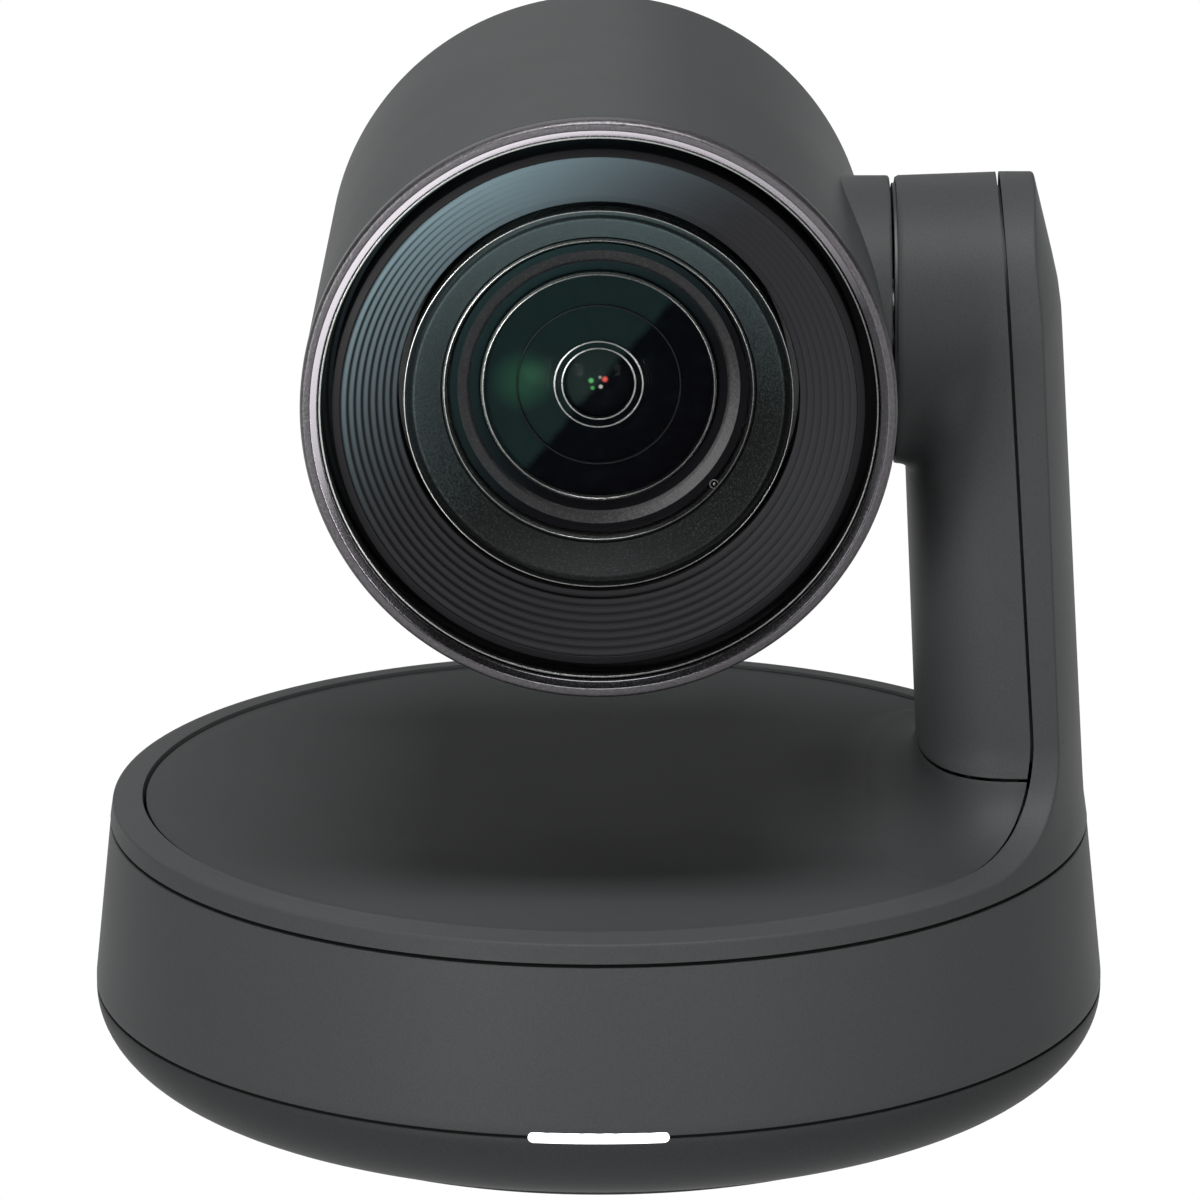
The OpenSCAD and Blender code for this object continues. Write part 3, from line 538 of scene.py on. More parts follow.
FINISHES = {
    "shell": Moulded("charcoal_shell", (0.036, 0.038, 0.039), (0.046, 0.048, 0.049), 0.46, 0.49,
                     specular=0.055),
    # Painted shade: the shell plastic made darker for the lower shell, so that the floor's light shows less on it.
    "painted_shade_shell": Moulded("charcoal_painted_shade", (0.023, 0.024, 0.025), (0.030, 0.031, 0.032), 0.48, 0.51,
                         specular=0.05),
    "top": Moulded("charcoal_top", (0.024, 0.026, 0.027), (0.032, 0.034, 0.035), 0.54, 0.56,
                   specular=0.14),
    "panel": Moulded("port_black", (0.012, 0.012, 0.013), (0.018, 0.018, 0.019), 0.45, 0.6),
    "lens_black": Moulded("lens_black", (0.002, 0.002, 0.003), (0.004, 0.004, 0.005), 0.45, 0.55,
                          6.0, 0.008, 0.15),
    # Painted light: a teal tint on the upper-left side of the hood; painted shade in the grooves of its steps.
    "baffle": LensBlack("baffle_black_painted_light", (0.010, 0.010, 0.012), (0.145, 0.21, 0.235), 132, 4, 38,
                        smooth=0.42, grain_mm=0.008, specular=0.15, speckle=0.02, power=2.0,
                        ridge_r=HOOD_R, ridge_pitch=(HOOD_R - HOOD_BACK_R) / HOOD_STEPS),
    # Painted light: a teal tint on the upper side of the slope, with random speckle.
    "lens_ring": LensBlack("lens_ring_painted_light", (0.0065, 0.0065, 0.0065), (0.060, 0.085, 0.088), 110,
                           -12, 30, smooth=0.55, grain_per_mm=3.0, grain_mm=0.05, specular=0.12,
                           speckle=0.25),
    # Painted light: a faint teal tint towards the upper left.
    "cell_outer_painted_light": LensBlack("cell_outer_painted_light", (0.002, 0.002, 0.003), (0.010, 0.022, 0.023), 130,
                            -6, 22, smooth=0.6, grain_mm=0.002, specular=0.05),
    # Painted light: a lit crescent on the cell's wall, brighter towards the lower right.
    "crescent": LensBlack("cell_painted_crescent", (0.003, 0.003, 0.004), (0.075, 0.075, 0.075), -38,
                          9, 20, smooth=0.5, grain_per_mm=3.0, grain_mm=0.04, speckle=0.3,
                          power=2.0),
    "rubber": Moulded("foot_rubber", (0.010, 0.010, 0.011), (0.020, 0.020, 0.021), 0.75, 0.9,
                      1.5, 0.05, 0.3),
    "bearing": Moulded("acetal", (0.72, 0.70, 0.64), (0.80, 0.78, 0.72), 0.35, 0.45, 2.0, 0.01),
    "film": Moulded("flat_cable", (0.34, 0.15, 0.03), (0.44, 0.20, 0.05), 0.3, 0.4, 0.8, 0.01),
    # Textured metal, speckled at random; its paler side towards the upper left is painted light.
    "bezel": LensBlack("textured_bezel_painted_light", (0.058, 0.055, 0.059), (0.105, 0.10, 0.107), 120, -50, 50,
                       smooth=0.35, grain_per_mm=2.2, grain_mm=0.09, specular=0.4, speckle=0.35,
                       metallic=0.9),
    # Polished metal with a painted highlight towards the upper left and painted shade towards the lower right.
    "trim": LensBlack("polished_trim_painted_highlight", (0.05, 0.048, 0.052), (0.85, 0.80, 0.86), 128, -12, 40,
                      smooth=0.2, grain_per_mm=3.0, grain_mm=0.004, specular=0.5, speckle=0.02,
                      metallic=1.0),
    # Painted highlight: the ring edges are brighter towards the upper left.
    "ring_edge": LensBlack("edge_metal_painted_highlight", (0.12, 0.12, 0.12), (0.42, 0.44, 0.42), 150, -25, 25,
                           smooth=0.25, grain_per_mm=3.0, grain_mm=0.004, specular=0.5,
                           speckle=0.1, metallic=1.0),
    "steel": Metal("zinc_steel", (0.42, 0.43, 0.45), (0.60, 0.61, 0.63), 0.28, 0.42),
    "aluminium": Metal("cast_aluminium", (0.50, 0.51, 0.52), (0.68, 0.69, 0.70), 0.38, 0.52, 1.2,
                       0.03),
    "brass": Metal("insert_brass", (0.60, 0.42, 0.16), (0.76, 0.56, 0.26), 0.25, 0.4),
    "silicon": Metal("sensor_silicon", (0.10, 0.07, 0.12), (0.20, 0.15, 0.24), 0.1, 0.18, 1.0,
                     0.002, 0.6),
    "board": Board("green_board", (0.006, 0.045, 0.020), (0.016, 0.090, 0.040)),
    # Painted reflection of the front glass: a teal tint towards the upper left.
    "glass": Glass("front_coating_painted_reflection", (0.001, 0.001, 0.001), (0.010, 0.035, 0.034), 0.02),
    # Painted reflection and glowing painted glints of the deep lens.
    "deep_glass": DeepLens("inner_coating_painted_glints", (0.002, 0.002, 0.003), (0.012, 0.020, 0.018), (
        (0.9, 0.6, 0.55, (0.75, 0.10, 0.08)), (0.3, -0.5, 0.4, (0.5, 0.5, 0.45)),
        (-1.1, 0.4, 0.5, (0.10, 0.45, 0.12)), (-0.9, -0.7, 0.4, (0.06, 0.35, 0.08)),
        (0.2, 0.9, 0.3, (0.30, 0.30, 0.28)))),
    # Painted glow: a faint green flare that glows on the black cell steps, with a painted reflection tint.
    "flare": DeepLens("painted_green_flare", (0.0012, 0.0012, 0.002), (0.007, 0.014, 0.014), (
        (-11.0, 0.6, 5.0, (0.008, 0.036, 0.017)), (-9.5, 1.6, 2.2, (0.007, 0.022, 0.011))), 0.6),
    "lamp": Lamp("light_bar_diffuser", (0.93, 0.97, 1.0), 0.68),
}

# Finish of each CAD slot; the bezel, trim and coated-glass finishes carry painted light.
SLOT_FINISH = {
    "shell_plastic": "shell", "black_plastic": "panel", "foot_rubber": "rubber",
    "insert_brass": "brass", "steel": "steel", "aluminium": "aluminium",
    "circuit_board": "board", "silicon": "silicon", "bearing_plastic": "bearing",
    "cable_film": "film", "light_diffuser": "lamp", "bezel_metal": "bezel",
    "trim_metal": "trim", "coated_glass": "deep_glass",
}


class Palette:
    """Makes each finish once and gives it to pieces."""

    def __init__(self) -> None:
        """Starts with no material made."""
        self.made: dict[str, bpy.types.Material] = {}

    def get(self, key: str) -> bpy.types.Material:
        """Gives the material of a finish.

        Args:
            key: Name of the finish.

        Returns:
            Its material.
        """
        if key not in self.made:
            self.made[key] = FINISHES[key].make()
        return self.made[key]


PALETTE = Palette()


# ---- modelling helpers ----


def deselect_all() -> None:
    """Leaves no object selected."""
    if bpy.context.object is not None and bpy.context.object.mode != "OBJECT":
        bpy.ops.object.mode_set(mode="OBJECT")
    bpy.ops.object.select_all(action="DESELECT")


def select_only(piece: bpy.types.Object) -> None:
    """Leaves one object selected and active."""
    deselect_all()
    piece.select_set(True)
    bpy.context.view_layer.objects.active = piece


def mirrored(rows: Sequence[Sequence[Point3]]) -> list[list[Point3]]:
    """Completes rows that end on the plane Y = 0 with their mirror images."""
    return [[*row, *((x, -y, z) for x, y, z in reversed(row[:-1]))] for row in rows]


def ray_way(angle: float) -> Point:
    """Direction of a ray at an angle in degrees, from -Y towards -X."""
    return -math.sin(math.radians(angle)), -math.cos(math.radians(angle))


def arc(centre: Point, radius: float, start: float, end: float, steps: int) -> list[Point]:
    """Points along a circular arc.

    Args:
        centre: Centre of the arc.
        radius: Its radius.
        start: First angle in degrees.
        end: Last angle in degrees.
        steps: Number of chords.

    Returns:
        The points, both ends among them.
    """
    turns = [math.radians(start + (end - start) * i / steps) for i in range(steps + 1)]
    return [(centre[0] + radius * math.cos(t), centre[1] + radius * math.sin(t)) for t in turns]


def rounded(corners: Sequence[Corner], steps: int = 4) -> list[Point]:
    """Rounds the corners of a closed outline.

    Args:
        corners: Corners as (first, second, radius); a radius of 0 keeps a corner sharp.
        steps: Number of chords in a corner.

    Returns:
        The points of the rounded outline.
    """
    points: list[Point] = []
    count = len(corners)
    for i, (a, b, radius) in enumerate(corners):
        here = Vector((a, b))
        if radius <= 0:
            points.append((a, b))
            continue
        before = Vector(corners[i - 1][:2]) - here
        after = Vector(corners[(i + 1) % count][:2]) - here
        reach = min(radius, before.length * 0.49, after.length * 0.49)
        start, end = here + before.normalized() * reach, here + after.normalized() * reach
        for k in range(steps + 1):
            t = k / steps
            spot = start * (1 - t) ** 2 + here * 2 * t * (1 - t) + end * t ** 2
            points.append((spot.x, spot.y))
    return points


class Modeller:
    """Models pieces from primitives, in edit mode and with applied modifiers."""

    @staticmethod
    def turned(name: str, outline: Sequence[Point], turn: Turn,
               steps: int = 160) -> bpy.types.Object:
        """Revolves a closed outline.

        A plane is merged to one vertex, extruded along the outline and spun.

        Args:
            name: Name of the piece.
            outline: Closed outline as (radius, place along the axis), in millimetres.
            turn: Axis of the revolution.
            steps: Number of chords round the axis.

        Returns:
            The closed piece.
        """
        axis = {Turn.UPRIGHT: (0, 0, 1), Turn.LENS: (0, 1, 0), Turn.TILT: (1, 0, 0)}[turn]
        centre = (0, 0, 0) if turn is Turn.UPRIGHT else (0, 0, SIZES.tilt_z * MM)
        lay = {
            Turn.UPRIGHT: lambda r, s: Vector((r, 0, s)),
            Turn.LENS: lambda r, s: Vector((0, s, SIZES.tilt_z + r)),
            Turn.TILT: lambda r, s: Vector((s, 0, SIZES.tilt_z + r)),
        }[turn]
        spots = [lay(r, s) * MM for r, s in outline]
        deselect_all()
        bpy.ops.mesh.primitive_plane_add(size=MM, location=(0, 0, 0))
        piece = bpy.context.object
        piece.name = piece.data.name = name
        bpy.ops.object.mode_set(mode="EDIT")
        bpy.ops.mesh.select_all(action="SELECT")
        bpy.ops.mesh.merge(type="CENTER")
        bpy.ops.transform.translate(value=spots[0])
        for here, there in zip(spots, spots[1:] + spots[:1]):
            bpy.ops.mesh.extrude_vertices_move(TRANSFORM_OT_translate={"value": there - here})
        bpy.ops.mesh.select_all(action="SELECT")
        bpy.ops.mesh.spin(steps=steps, angle=2 * math.pi, center=centre, axis=axis)
        Modeller.weld_and_face_out()
        bpy.ops.object.mode_set(mode="OBJECT")
        return piece

    @staticmethod
    def weld_and_face_out() -> None:
        """Merges the doubles of the mesh in edit mode and turns its faces outwards."""
        bpy.ops.mesh.select_all(action="SELECT")
        bpy.ops.mesh.remove_doubles(threshold=WELD)
        bpy.ops.mesh.dissolve_degenerate(threshold=WELD)
        bpy.ops.mesh.select_all(action="SELECT")
        bpy.ops.mesh.normals_make_consistent(inside=False)

    @staticmethod
    def sheet(name: str, rows: Sequence[Sequence[Point3]], inside: Point3) -> bpy.types.Object:
        """Lays a grid on rows of points.

        Args:
            name: Name of the piece.
            rows: Rows of equally many points, in millimetres.
            inside: A point on the inner side of the sheet, in millimetres.

        Returns:
            The open sheet, its faces turned away from the inside point.
        """
        deselect_all()
        bpy.ops.mesh.primitive_grid_add(x_subdivisions=len(rows[0]) - 1,
                                        y_subdivisions=len(rows) - 1, size=1)
        piece = bpy.context.object
        piece.name = piece.data.name = name
        flat = [value * MM for row in rows for point in row for value in point]
        piece.data.vertices.foreach_set("co", flat)
        bpy.ops.object.mode_set(mode="EDIT")
        Modeller.weld_and_face_out()
        mesh = bmesh.from_edit_mesh(piece.data)
        mesh.normal_update()
        hub = Vector(inside) * MM
        outward = sum(f.calc_area() * f.normal.dot((f.calc_center_median() - hub).normalized())
                      for f in mesh.faces)
        if outward < 0:
            bpy.ops.mesh.flip_normals()
        bpy.ops.object.mode_set(mode="OBJECT")
        return piece

    @staticmethod
    def modify(piece: bpy.types.Object, kind: str, **settings: object) -> None:
        """Adds a modifier and applies it.

        Args:
            piece: The piece.
            kind: Type of the modifier.
            settings: Its settings.
        """
        select_only(piece)
        modifier = piece.modifiers.new(kind.title(), kind)
        for key, value in settings.items():
            setattr(modifier, key, value)
        bpy.ops.object.modifier_apply(modifier=modifier.name)

    @staticmethod
    def wall(piece: bpy.types.Object, thickness: float, edge: float = 0.25) -> None:
        """Gives an open sheet its wall, inwards, and rounds the wall's edges.

        Args:
            piece: The sheet.
            thickness: Wall in millimetres.
            edge: Radius of its edges in millimetres.
        """
        Modeller.modify(piece, "SOLIDIFY", thickness=thickness * MM, offset=-1.0)
        Modeller.soften(piece, edge, 55)

    @staticmethod
    def soften(piece: bpy.types.Object, width: float, angle: float = 40, segments: int = 3) -> None:
        """Rounds the edges that are sharper than an angle.

        Args:
            piece: The piece.
            width: Width of the rounding in millimetres.
            angle: The angle in degrees.
            segments: Number of faces across the rounding.
        """
        Modeller.modify(piece, "BEVEL", width=width * MM, segments=segments,
                        limit_method="ANGLE", angle_limit=math.radians(angle))

    @staticmethod
    def shift(offset: Sequence[float], size: Sequence[float] = (1.0, 1.0, 1.0)) -> None:
        """Resizes and then moves the mesh of the active piece, and not its origin.

        Args:
            offset: The move in metres.
            size: Factors of the resizing.
        """
        bpy.ops.object.mode_set(mode="EDIT")
        bpy.ops.mesh.select_all(action="SELECT")
        if any(factor != 1.0 for factor in size):
            bpy.ops.transform.resize(value=size)
        bpy.ops.transform.translate(value=offset)
        bpy.ops.object.mode_set(mode="OBJECT")

    @staticmethod
    def block(name: str, corner_low: Point3, corner_high: Point3, edge: float) -> bpy.types.Object:
        """Models a block with rounded edges.

        Args:
            name: Name of the piece.
            corner_low: Its lowest corner in millimetres.
            corner_high: Its highest corner in millimetres.
            edge: Radius of its edges in millimetres.

        Returns:
            The piece.
        """
        small, large = Vector(corner_low) * MM, Vector(corner_high) * MM
        deselect_all()
        bpy.ops.mesh.primitive_cube_add(size=1, location=(0, 0, 0))
        piece = bpy.context.object
        piece.name = piece.data.name = name
        Modeller.shift((large + small) / 2, large - small)
        Modeller.soften(piece, edge, 40)
        return piece

    @staticmethod
    def join(name: str, parts: Sequence[bpy.types.Object]) -> bpy.types.Object:
        """Joins parts into one piece.

        Args:
            name: Name of the piece.
            parts: The parts.

        Returns:
            The piece.
        """
        select_only(parts[0])
        for part in parts[1:]:
            part.select_set(True)
        bpy.ops.object.join()
        parts[0].name = parts[0].data.name = name
        return parts[0]

    @staticmethod
    def cut(piece: bpy.types.Object, tools: Sequence[bpy.types.Object],
            operation: str = "DIFFERENCE") -> None:
        """Cuts tools out of a piece, or adds them to it, and removes them.

        Args:
            piece: The piece.
            tools: Closed tools.
            operation: Kind of the Boolean.
        """
        for tool in tools:
            Modeller.modify(piece, "BOOLEAN", object=tool, operation=operation, solver="EXACT")
            bpy.data.objects.remove(tool)


def finish_piece(piece: bpy.types.Object, finish: str, body: Body, slot: Slot,
                 nodes: Sequence[str] = (), angle: float = 35) -> bpy.types.Object:
    """Shades a piece, dresses it and fixes it to the frame.

    Args:
        piece: The modelled piece.
        finish: Name of its finish.
        body: Body that it rides on.
        slot: Material slot of the record; not used.
        nodes: CAD nodes that it stands for.
        angle: Angle in degrees past which an edge stays sharp.

    Returns:
        The piece.
    """
    select_only(piece)
    bpy.ops.object.shade_smooth_by_angle(angle=math.radians(angle))
    piece.data.materials.clear()
    piece.data.materials.append(PALETTE.get(finish))
    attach(piece, body.value)
    if nodes:
        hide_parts(*nodes)
    LOG.info("%s: %d faces on %s", piece.name, len(piece.data.polygons), body.value)
    return piece


# ---- outer form of the arm and the top ----


@dataclass(frozen=True)
class ArmForm:
    """Surfaces that the arm's covers and the turning top share, in millimetres."""

    top_r: float = SIZES.arm_top_z - SIZES.tilt_z
    drum_r: float = 21.4
    foot_half: float = 24.0
    sweep_w: float = 19.5
    sweep_h: float = 14.2
    split_x: float = SIZES.drum_x + 16.6
    split_slope: float = math.tan(math.radians(3.6))
    seam_r: float = 68.5
    column_foot_x: float = SIZES.drum_x + 3.8
    column_lean: float = math.tan(math.radians(2.6))
    column_power: float = 2.8
    boot_top_z: float = SIZES.rim_top_z + 9.2
    inner_flare: float = 8.5
    gap: float = 0.5

    @property
    def sweep_z(self) -> float:
        """Height at which the arm's sides start to sweep out."""
        return SIZES.rim_top_z + self.sweep_h

    def split_at(self, z: float) -> float:
        """X of the seam plane at a height."""
        return self.split_x - self.split_slope * (z - SIZES.tilt_z)

    def outer_r(self, z: float) -> float:
        """Radius of the arm's outer face at a height."""
        foot, shoulder, knee = 4.2, SIZES.tilt_z + 5, 4.0
        rim = SIZES.rim_r
        if z < SIZES.rim_z + foot:
            return rim - 0.6 * max(z - SIZES.rim_z, 0) / foot
        draft = 0.0567
        at = rim - 0.6 - draft * (z - SIZES.rim_z - foot)
        past = z - shoulder
        slope = 0.185
        if past > -knee:
            if past < knee:
                at -= slope * (past + knee) ** 2 / (4 * knee)
            else:
                at -= slope * past
        return at

    def half_depth(self, z: float) -> float:
        """Half depth of the arm's side outline at a height below the tilt axis."""
        if z >= self.sweep_z:
            share = (z - self.sweep_z) / (SIZES.tilt_z - self.sweep_z)
            return self.foot_half + (self.top_r - self.foot_half) * min(share, 1.0)
        sine = min((self.sweep_z - z) / self.sweep_h, 1.0)
        return self.foot_half + self.sweep_w * (1 - math.sqrt(1 - sine * sine))

    def seam_x(self, y: float, z: float, inset: float = 0.0) -> float:
        """X of the seam between the inner and the outer mouldings."""
        round_r = self.seam_r - inset
        return min(math.sqrt(max(round_r ** 2 - y * y, 0)), self.split_at(z) - inset)

    def column_inner_x(self, z: float) -> float:
        """X of the column's inner face, which flares at its foot."""
        plain = self.column_foot_x - self.column_lean * (z - self.boot_top_z)
        flare_top = SIZES.rim_top_z - 0.35 + self.inner_flare
        if z >= flare_top:
            return plain
        sine = min((flare_top - z) / self.inner_flare, 1.0)
        return plain - self.inner_flare * (1 - math.sqrt(1 - sine * sine))

    def column_section(self, z: float, steps: int, inset: float = 0.0) -> list[Point]:
        """Front half of the column's section, from the seam to the inner face.

        Args:
            z: Height of the section.
            steps: Number of chords.
            inset: Height by which the side outline is let in.

        Returns:
            Points as (x, y).
        """
        half = self.half_depth(z + inset)
        mid = self.seam_x(half, z, self.gap / 2)
        wide = mid - self.column_inner_x(z)
        power = 2 / self.column_power
        turns = [math.pi / 2 * i / steps for i in range(steps + 1)]
        return [(mid - wide * max(math.sin(t), 0) ** power, -half * max(math.cos(t), 0) ** power)
                for t in turns]


ARM = ArmForm()


def reach(outline: Sequence[Point], start: Point, way: Point) -> float:
    """Distance from a point to an outline in a direction.

    Args:
        outline: Open outline.
        start: The point, on the inner side.
        way: Unit direction.

    Returns:
        The farthest crossing, or 0 if there is none.
    """
    best = 0.0
    for (ax, ay), (bx, by) in zip(outline, outline[1:]):
        ex, ey = bx - ax, by - ay
        cross = way[0] * ey - way[1] * ex
        if abs(cross) < 1e-12:
            continue
        px, py = ax - start[0], ay - start[1]
        along = (px * ey - py * ex) / cross
        share = (px * way[1] - py * way[0]) / cross
        if -1e-9 <= share <= 1 + 1e-9 and along > best:
            best = along
    return best


def soft_max(a: float, b: float, width: float) -> float:
    """The larger of two values, blended where they are within a width of each other."""
    if width <= 0 or b <= 0:
        return max(a, b)
    near = max(width - abs(a - b), 0.0) / width
    return max(a, b) + near * near * width / 4


def ease(share: float) -> float:
    """Smooth step from 0 to 1."""
    share = min(max(share, 0.0), 1.0)
    return share * share * (3 - 2 * share)


@dataclass
class InnerCover:
    """Drum and column on the inner side of the arm."""

    origin_back: float = 6.3
    rim_round: float = 0.5
    front_columns: int = 14
    flank_columns: int = 12
    corner_columns: int = 6
    face_columns: int = 8
    top_rows: int = 26
    drum_rows: int = 30
    column_rows: int = 26
    column_steps: int = 48
    blend_rows: tuple[float, ...] = (0.02, 0.3, 0.8, 1.6, 2.8, 4.4, 6.4, 8.8)

    def build(self) -> bpy.types.Object:
        """Models the cover and gives it its wall."""
        rows = mirrored(self.upper_rows() + self.lower_rows())
        piece = Modeller.sheet("arm_inner_cover", rows, (57.0, 0, 90.0))
        Modeller.wall(piece, 1.6, 0.22)
        self.gap_ring()
        return finish_piece(piece, "shell", Body.TOP, Slot.SHELL, ["inner_cover"], 40)

    def gap_ring(self) -> None:
        """Black ring in the gap between the drum and the head's stub, which stands for the shade in the gap."""
        front, back = SIZES.drum_x - 0.45, SIZES.drum_x + 0.6
        corners = [(16.0, front, 0.1), (20.3, front, 0.15), (20.3, back, 0), (16.0, back, 0)]
        ring = Modeller.turned("tilt_gap_shade_ring", rounded(corners, 3), Turn.TILT, 96)
        finish_piece(ring, "panel", Body.TOP, Slot.BLACK)

    def rays(self, half: float, corner: float) -> list[tuple[float, float]]:
        """Starts and turns of the rays of one row.

        Args:
            half: X of the seam in this row.
            corner: Angle of the drum's edge, in degrees.

        Returns:
            Pairs of the ray's start along X and its angle in degrees.
        """
        hub = SIZES.drum_x + self.origin_back
        rays = [(half + (hub - half) * i / self.front_columns, 0.0)
                for i in range(self.front_columns)]
        spread = min(4.0, corner / 3, (90 - corner) / 2)
        stops = [(0.0, corner - spread, self.flank_columns),
                 (corner - spread, corner + spread, self.corner_columns),
                 (corner + spread, 90.0, self.face_columns)]
        for start, end, count in stops:
            rays += [(hub, start + (end - start) * i / count) for i in range(count)]
        return rays + [(hub, 90.0)]

    def drum_outline(self, seam: float, half_of: Callable[[float], float]) -> list[Point]:
        """Section of the drum from the seam to its inner face.

        Args:
            seam: X of the seam.
            half_of: Half depth of the drum at an X.

        Returns:
            Points as (x, y).
        """
        near = SIZES.drum_x
        edge = half_of(near)
        turn = min(self.rim_round, edge * 0.8)
        run = [seam + 2 + (near + turn - seam - 2) * i / 10 for i in range(11)]
        outline = [(x, -half_of(x)) for x in run]
        outline += arc((near + turn, -(edge - turn)), turn, -90, -180, 5)[1:]
        return outline + [(near, 0.001)]

    def radius_at(self, x: float) -> float:
        """Radius of the drum at an X."""
        share = min(max((x - SIZES.drum_x) / 16.6, 0.0), 1.0)
        return ARM.drum_r + (ARM.top_r - ARM.drum_r) * share

    def upper_rows(self) -> list[list[Point3]]:
        """Rows over the upper half of the drum, from its top to the tilt axis."""
        rows = []
        for i in range(self.top_rows):
            turn = math.radians(90 - 90 * i / self.top_rows)
            height = SIZES.tilt_z + ARM.top_r * math.sin(turn)
            seam = ARM.split_at(height) - ARM.gap / 2
            outline = self.drum_outline(seam, self.radius_at)
            corner = math.degrees(math.atan2(self.origin_back, ARM.drum_r))
            row = []
            for start, angle in self.rays(seam, corner):
                way = ray_way(angle)
                far = reach(outline, (start, 0), way)
                x, depth = start + far * way[0], -far * way[1]
                if angle == 90:
                    x, depth = SIZES.drum_x, 0.0
                row.append((x, -depth * math.cos(turn), SIZES.tilt_z + depth * math.sin(turn)))
            rows.append(row)
        return rows

    def heights(self) -> list[float]:
        """Heights of the rows below the tilt axis."""
        bottom = SIZES.tilt_z - ARM.drum_r
        drum = [SIZES.tilt_z - ARM.drum_r * math.sin(math.radians(90 * i / self.drum_rows))
                for i in range(self.drum_rows)]
        start, foot = bottom - self.blend_rows[-1], ARM.boot_top_z + ARM.gap / 2
        rest = [start - (start - foot) * (i + 1) / self.column_rows
                for i in range(self.column_rows)]
        return drum + [bottom - drop for drop in self.blend_rows] + rest

    def lower_rows(self) -> list[list[Point3]]:
        """Rows from the tilt axis down to the foot, where the drum blends into the column."""
        rows = []
        bottom = SIZES.tilt_z - ARM.drum_r
        for z in self.heights():
            drop = SIZES.tilt_z - z
            column = ARM.column_section(z, self.column_steps)
            seam = column[0][0]
            column = [(seam + 3, column[0][1])] + column + [(column[-1][0], 0.01)]
            in_drum = z > bottom
            if in_drum:
                half_of = lambda x, d=drop: math.sqrt(max(self.radius_at(x) ** 2 - d * d, 1e-6))
                outline = self.drum_outline(seam, half_of)
                corner = math.degrees(math.atan2(self.origin_back, half_of(SIZES.drum_x)))
                corner = min(corner, 84.0)
            else:
                outline = []
                corner = 84.0 - 24.0 * ease((bottom - z) / 12)
            row = []
            for start, angle in self.rays(seam, corner):
                way = ray_way(angle)
                body = reach(column, (start, 0), way)
                drum = reach(outline, (start, 0), way) if in_drum else 0.0
                width = (6.0 * ease((58 - start) / 8) * ease(drop / 12)
                         * (1 - 0.9 * ease(angle / 70)))
                far = soft_max(body, drum, width) if in_drum else body
                row.append((start + far * way[0], min(far * way[1], 0.0), z))
            rows.append(row)
        return rows


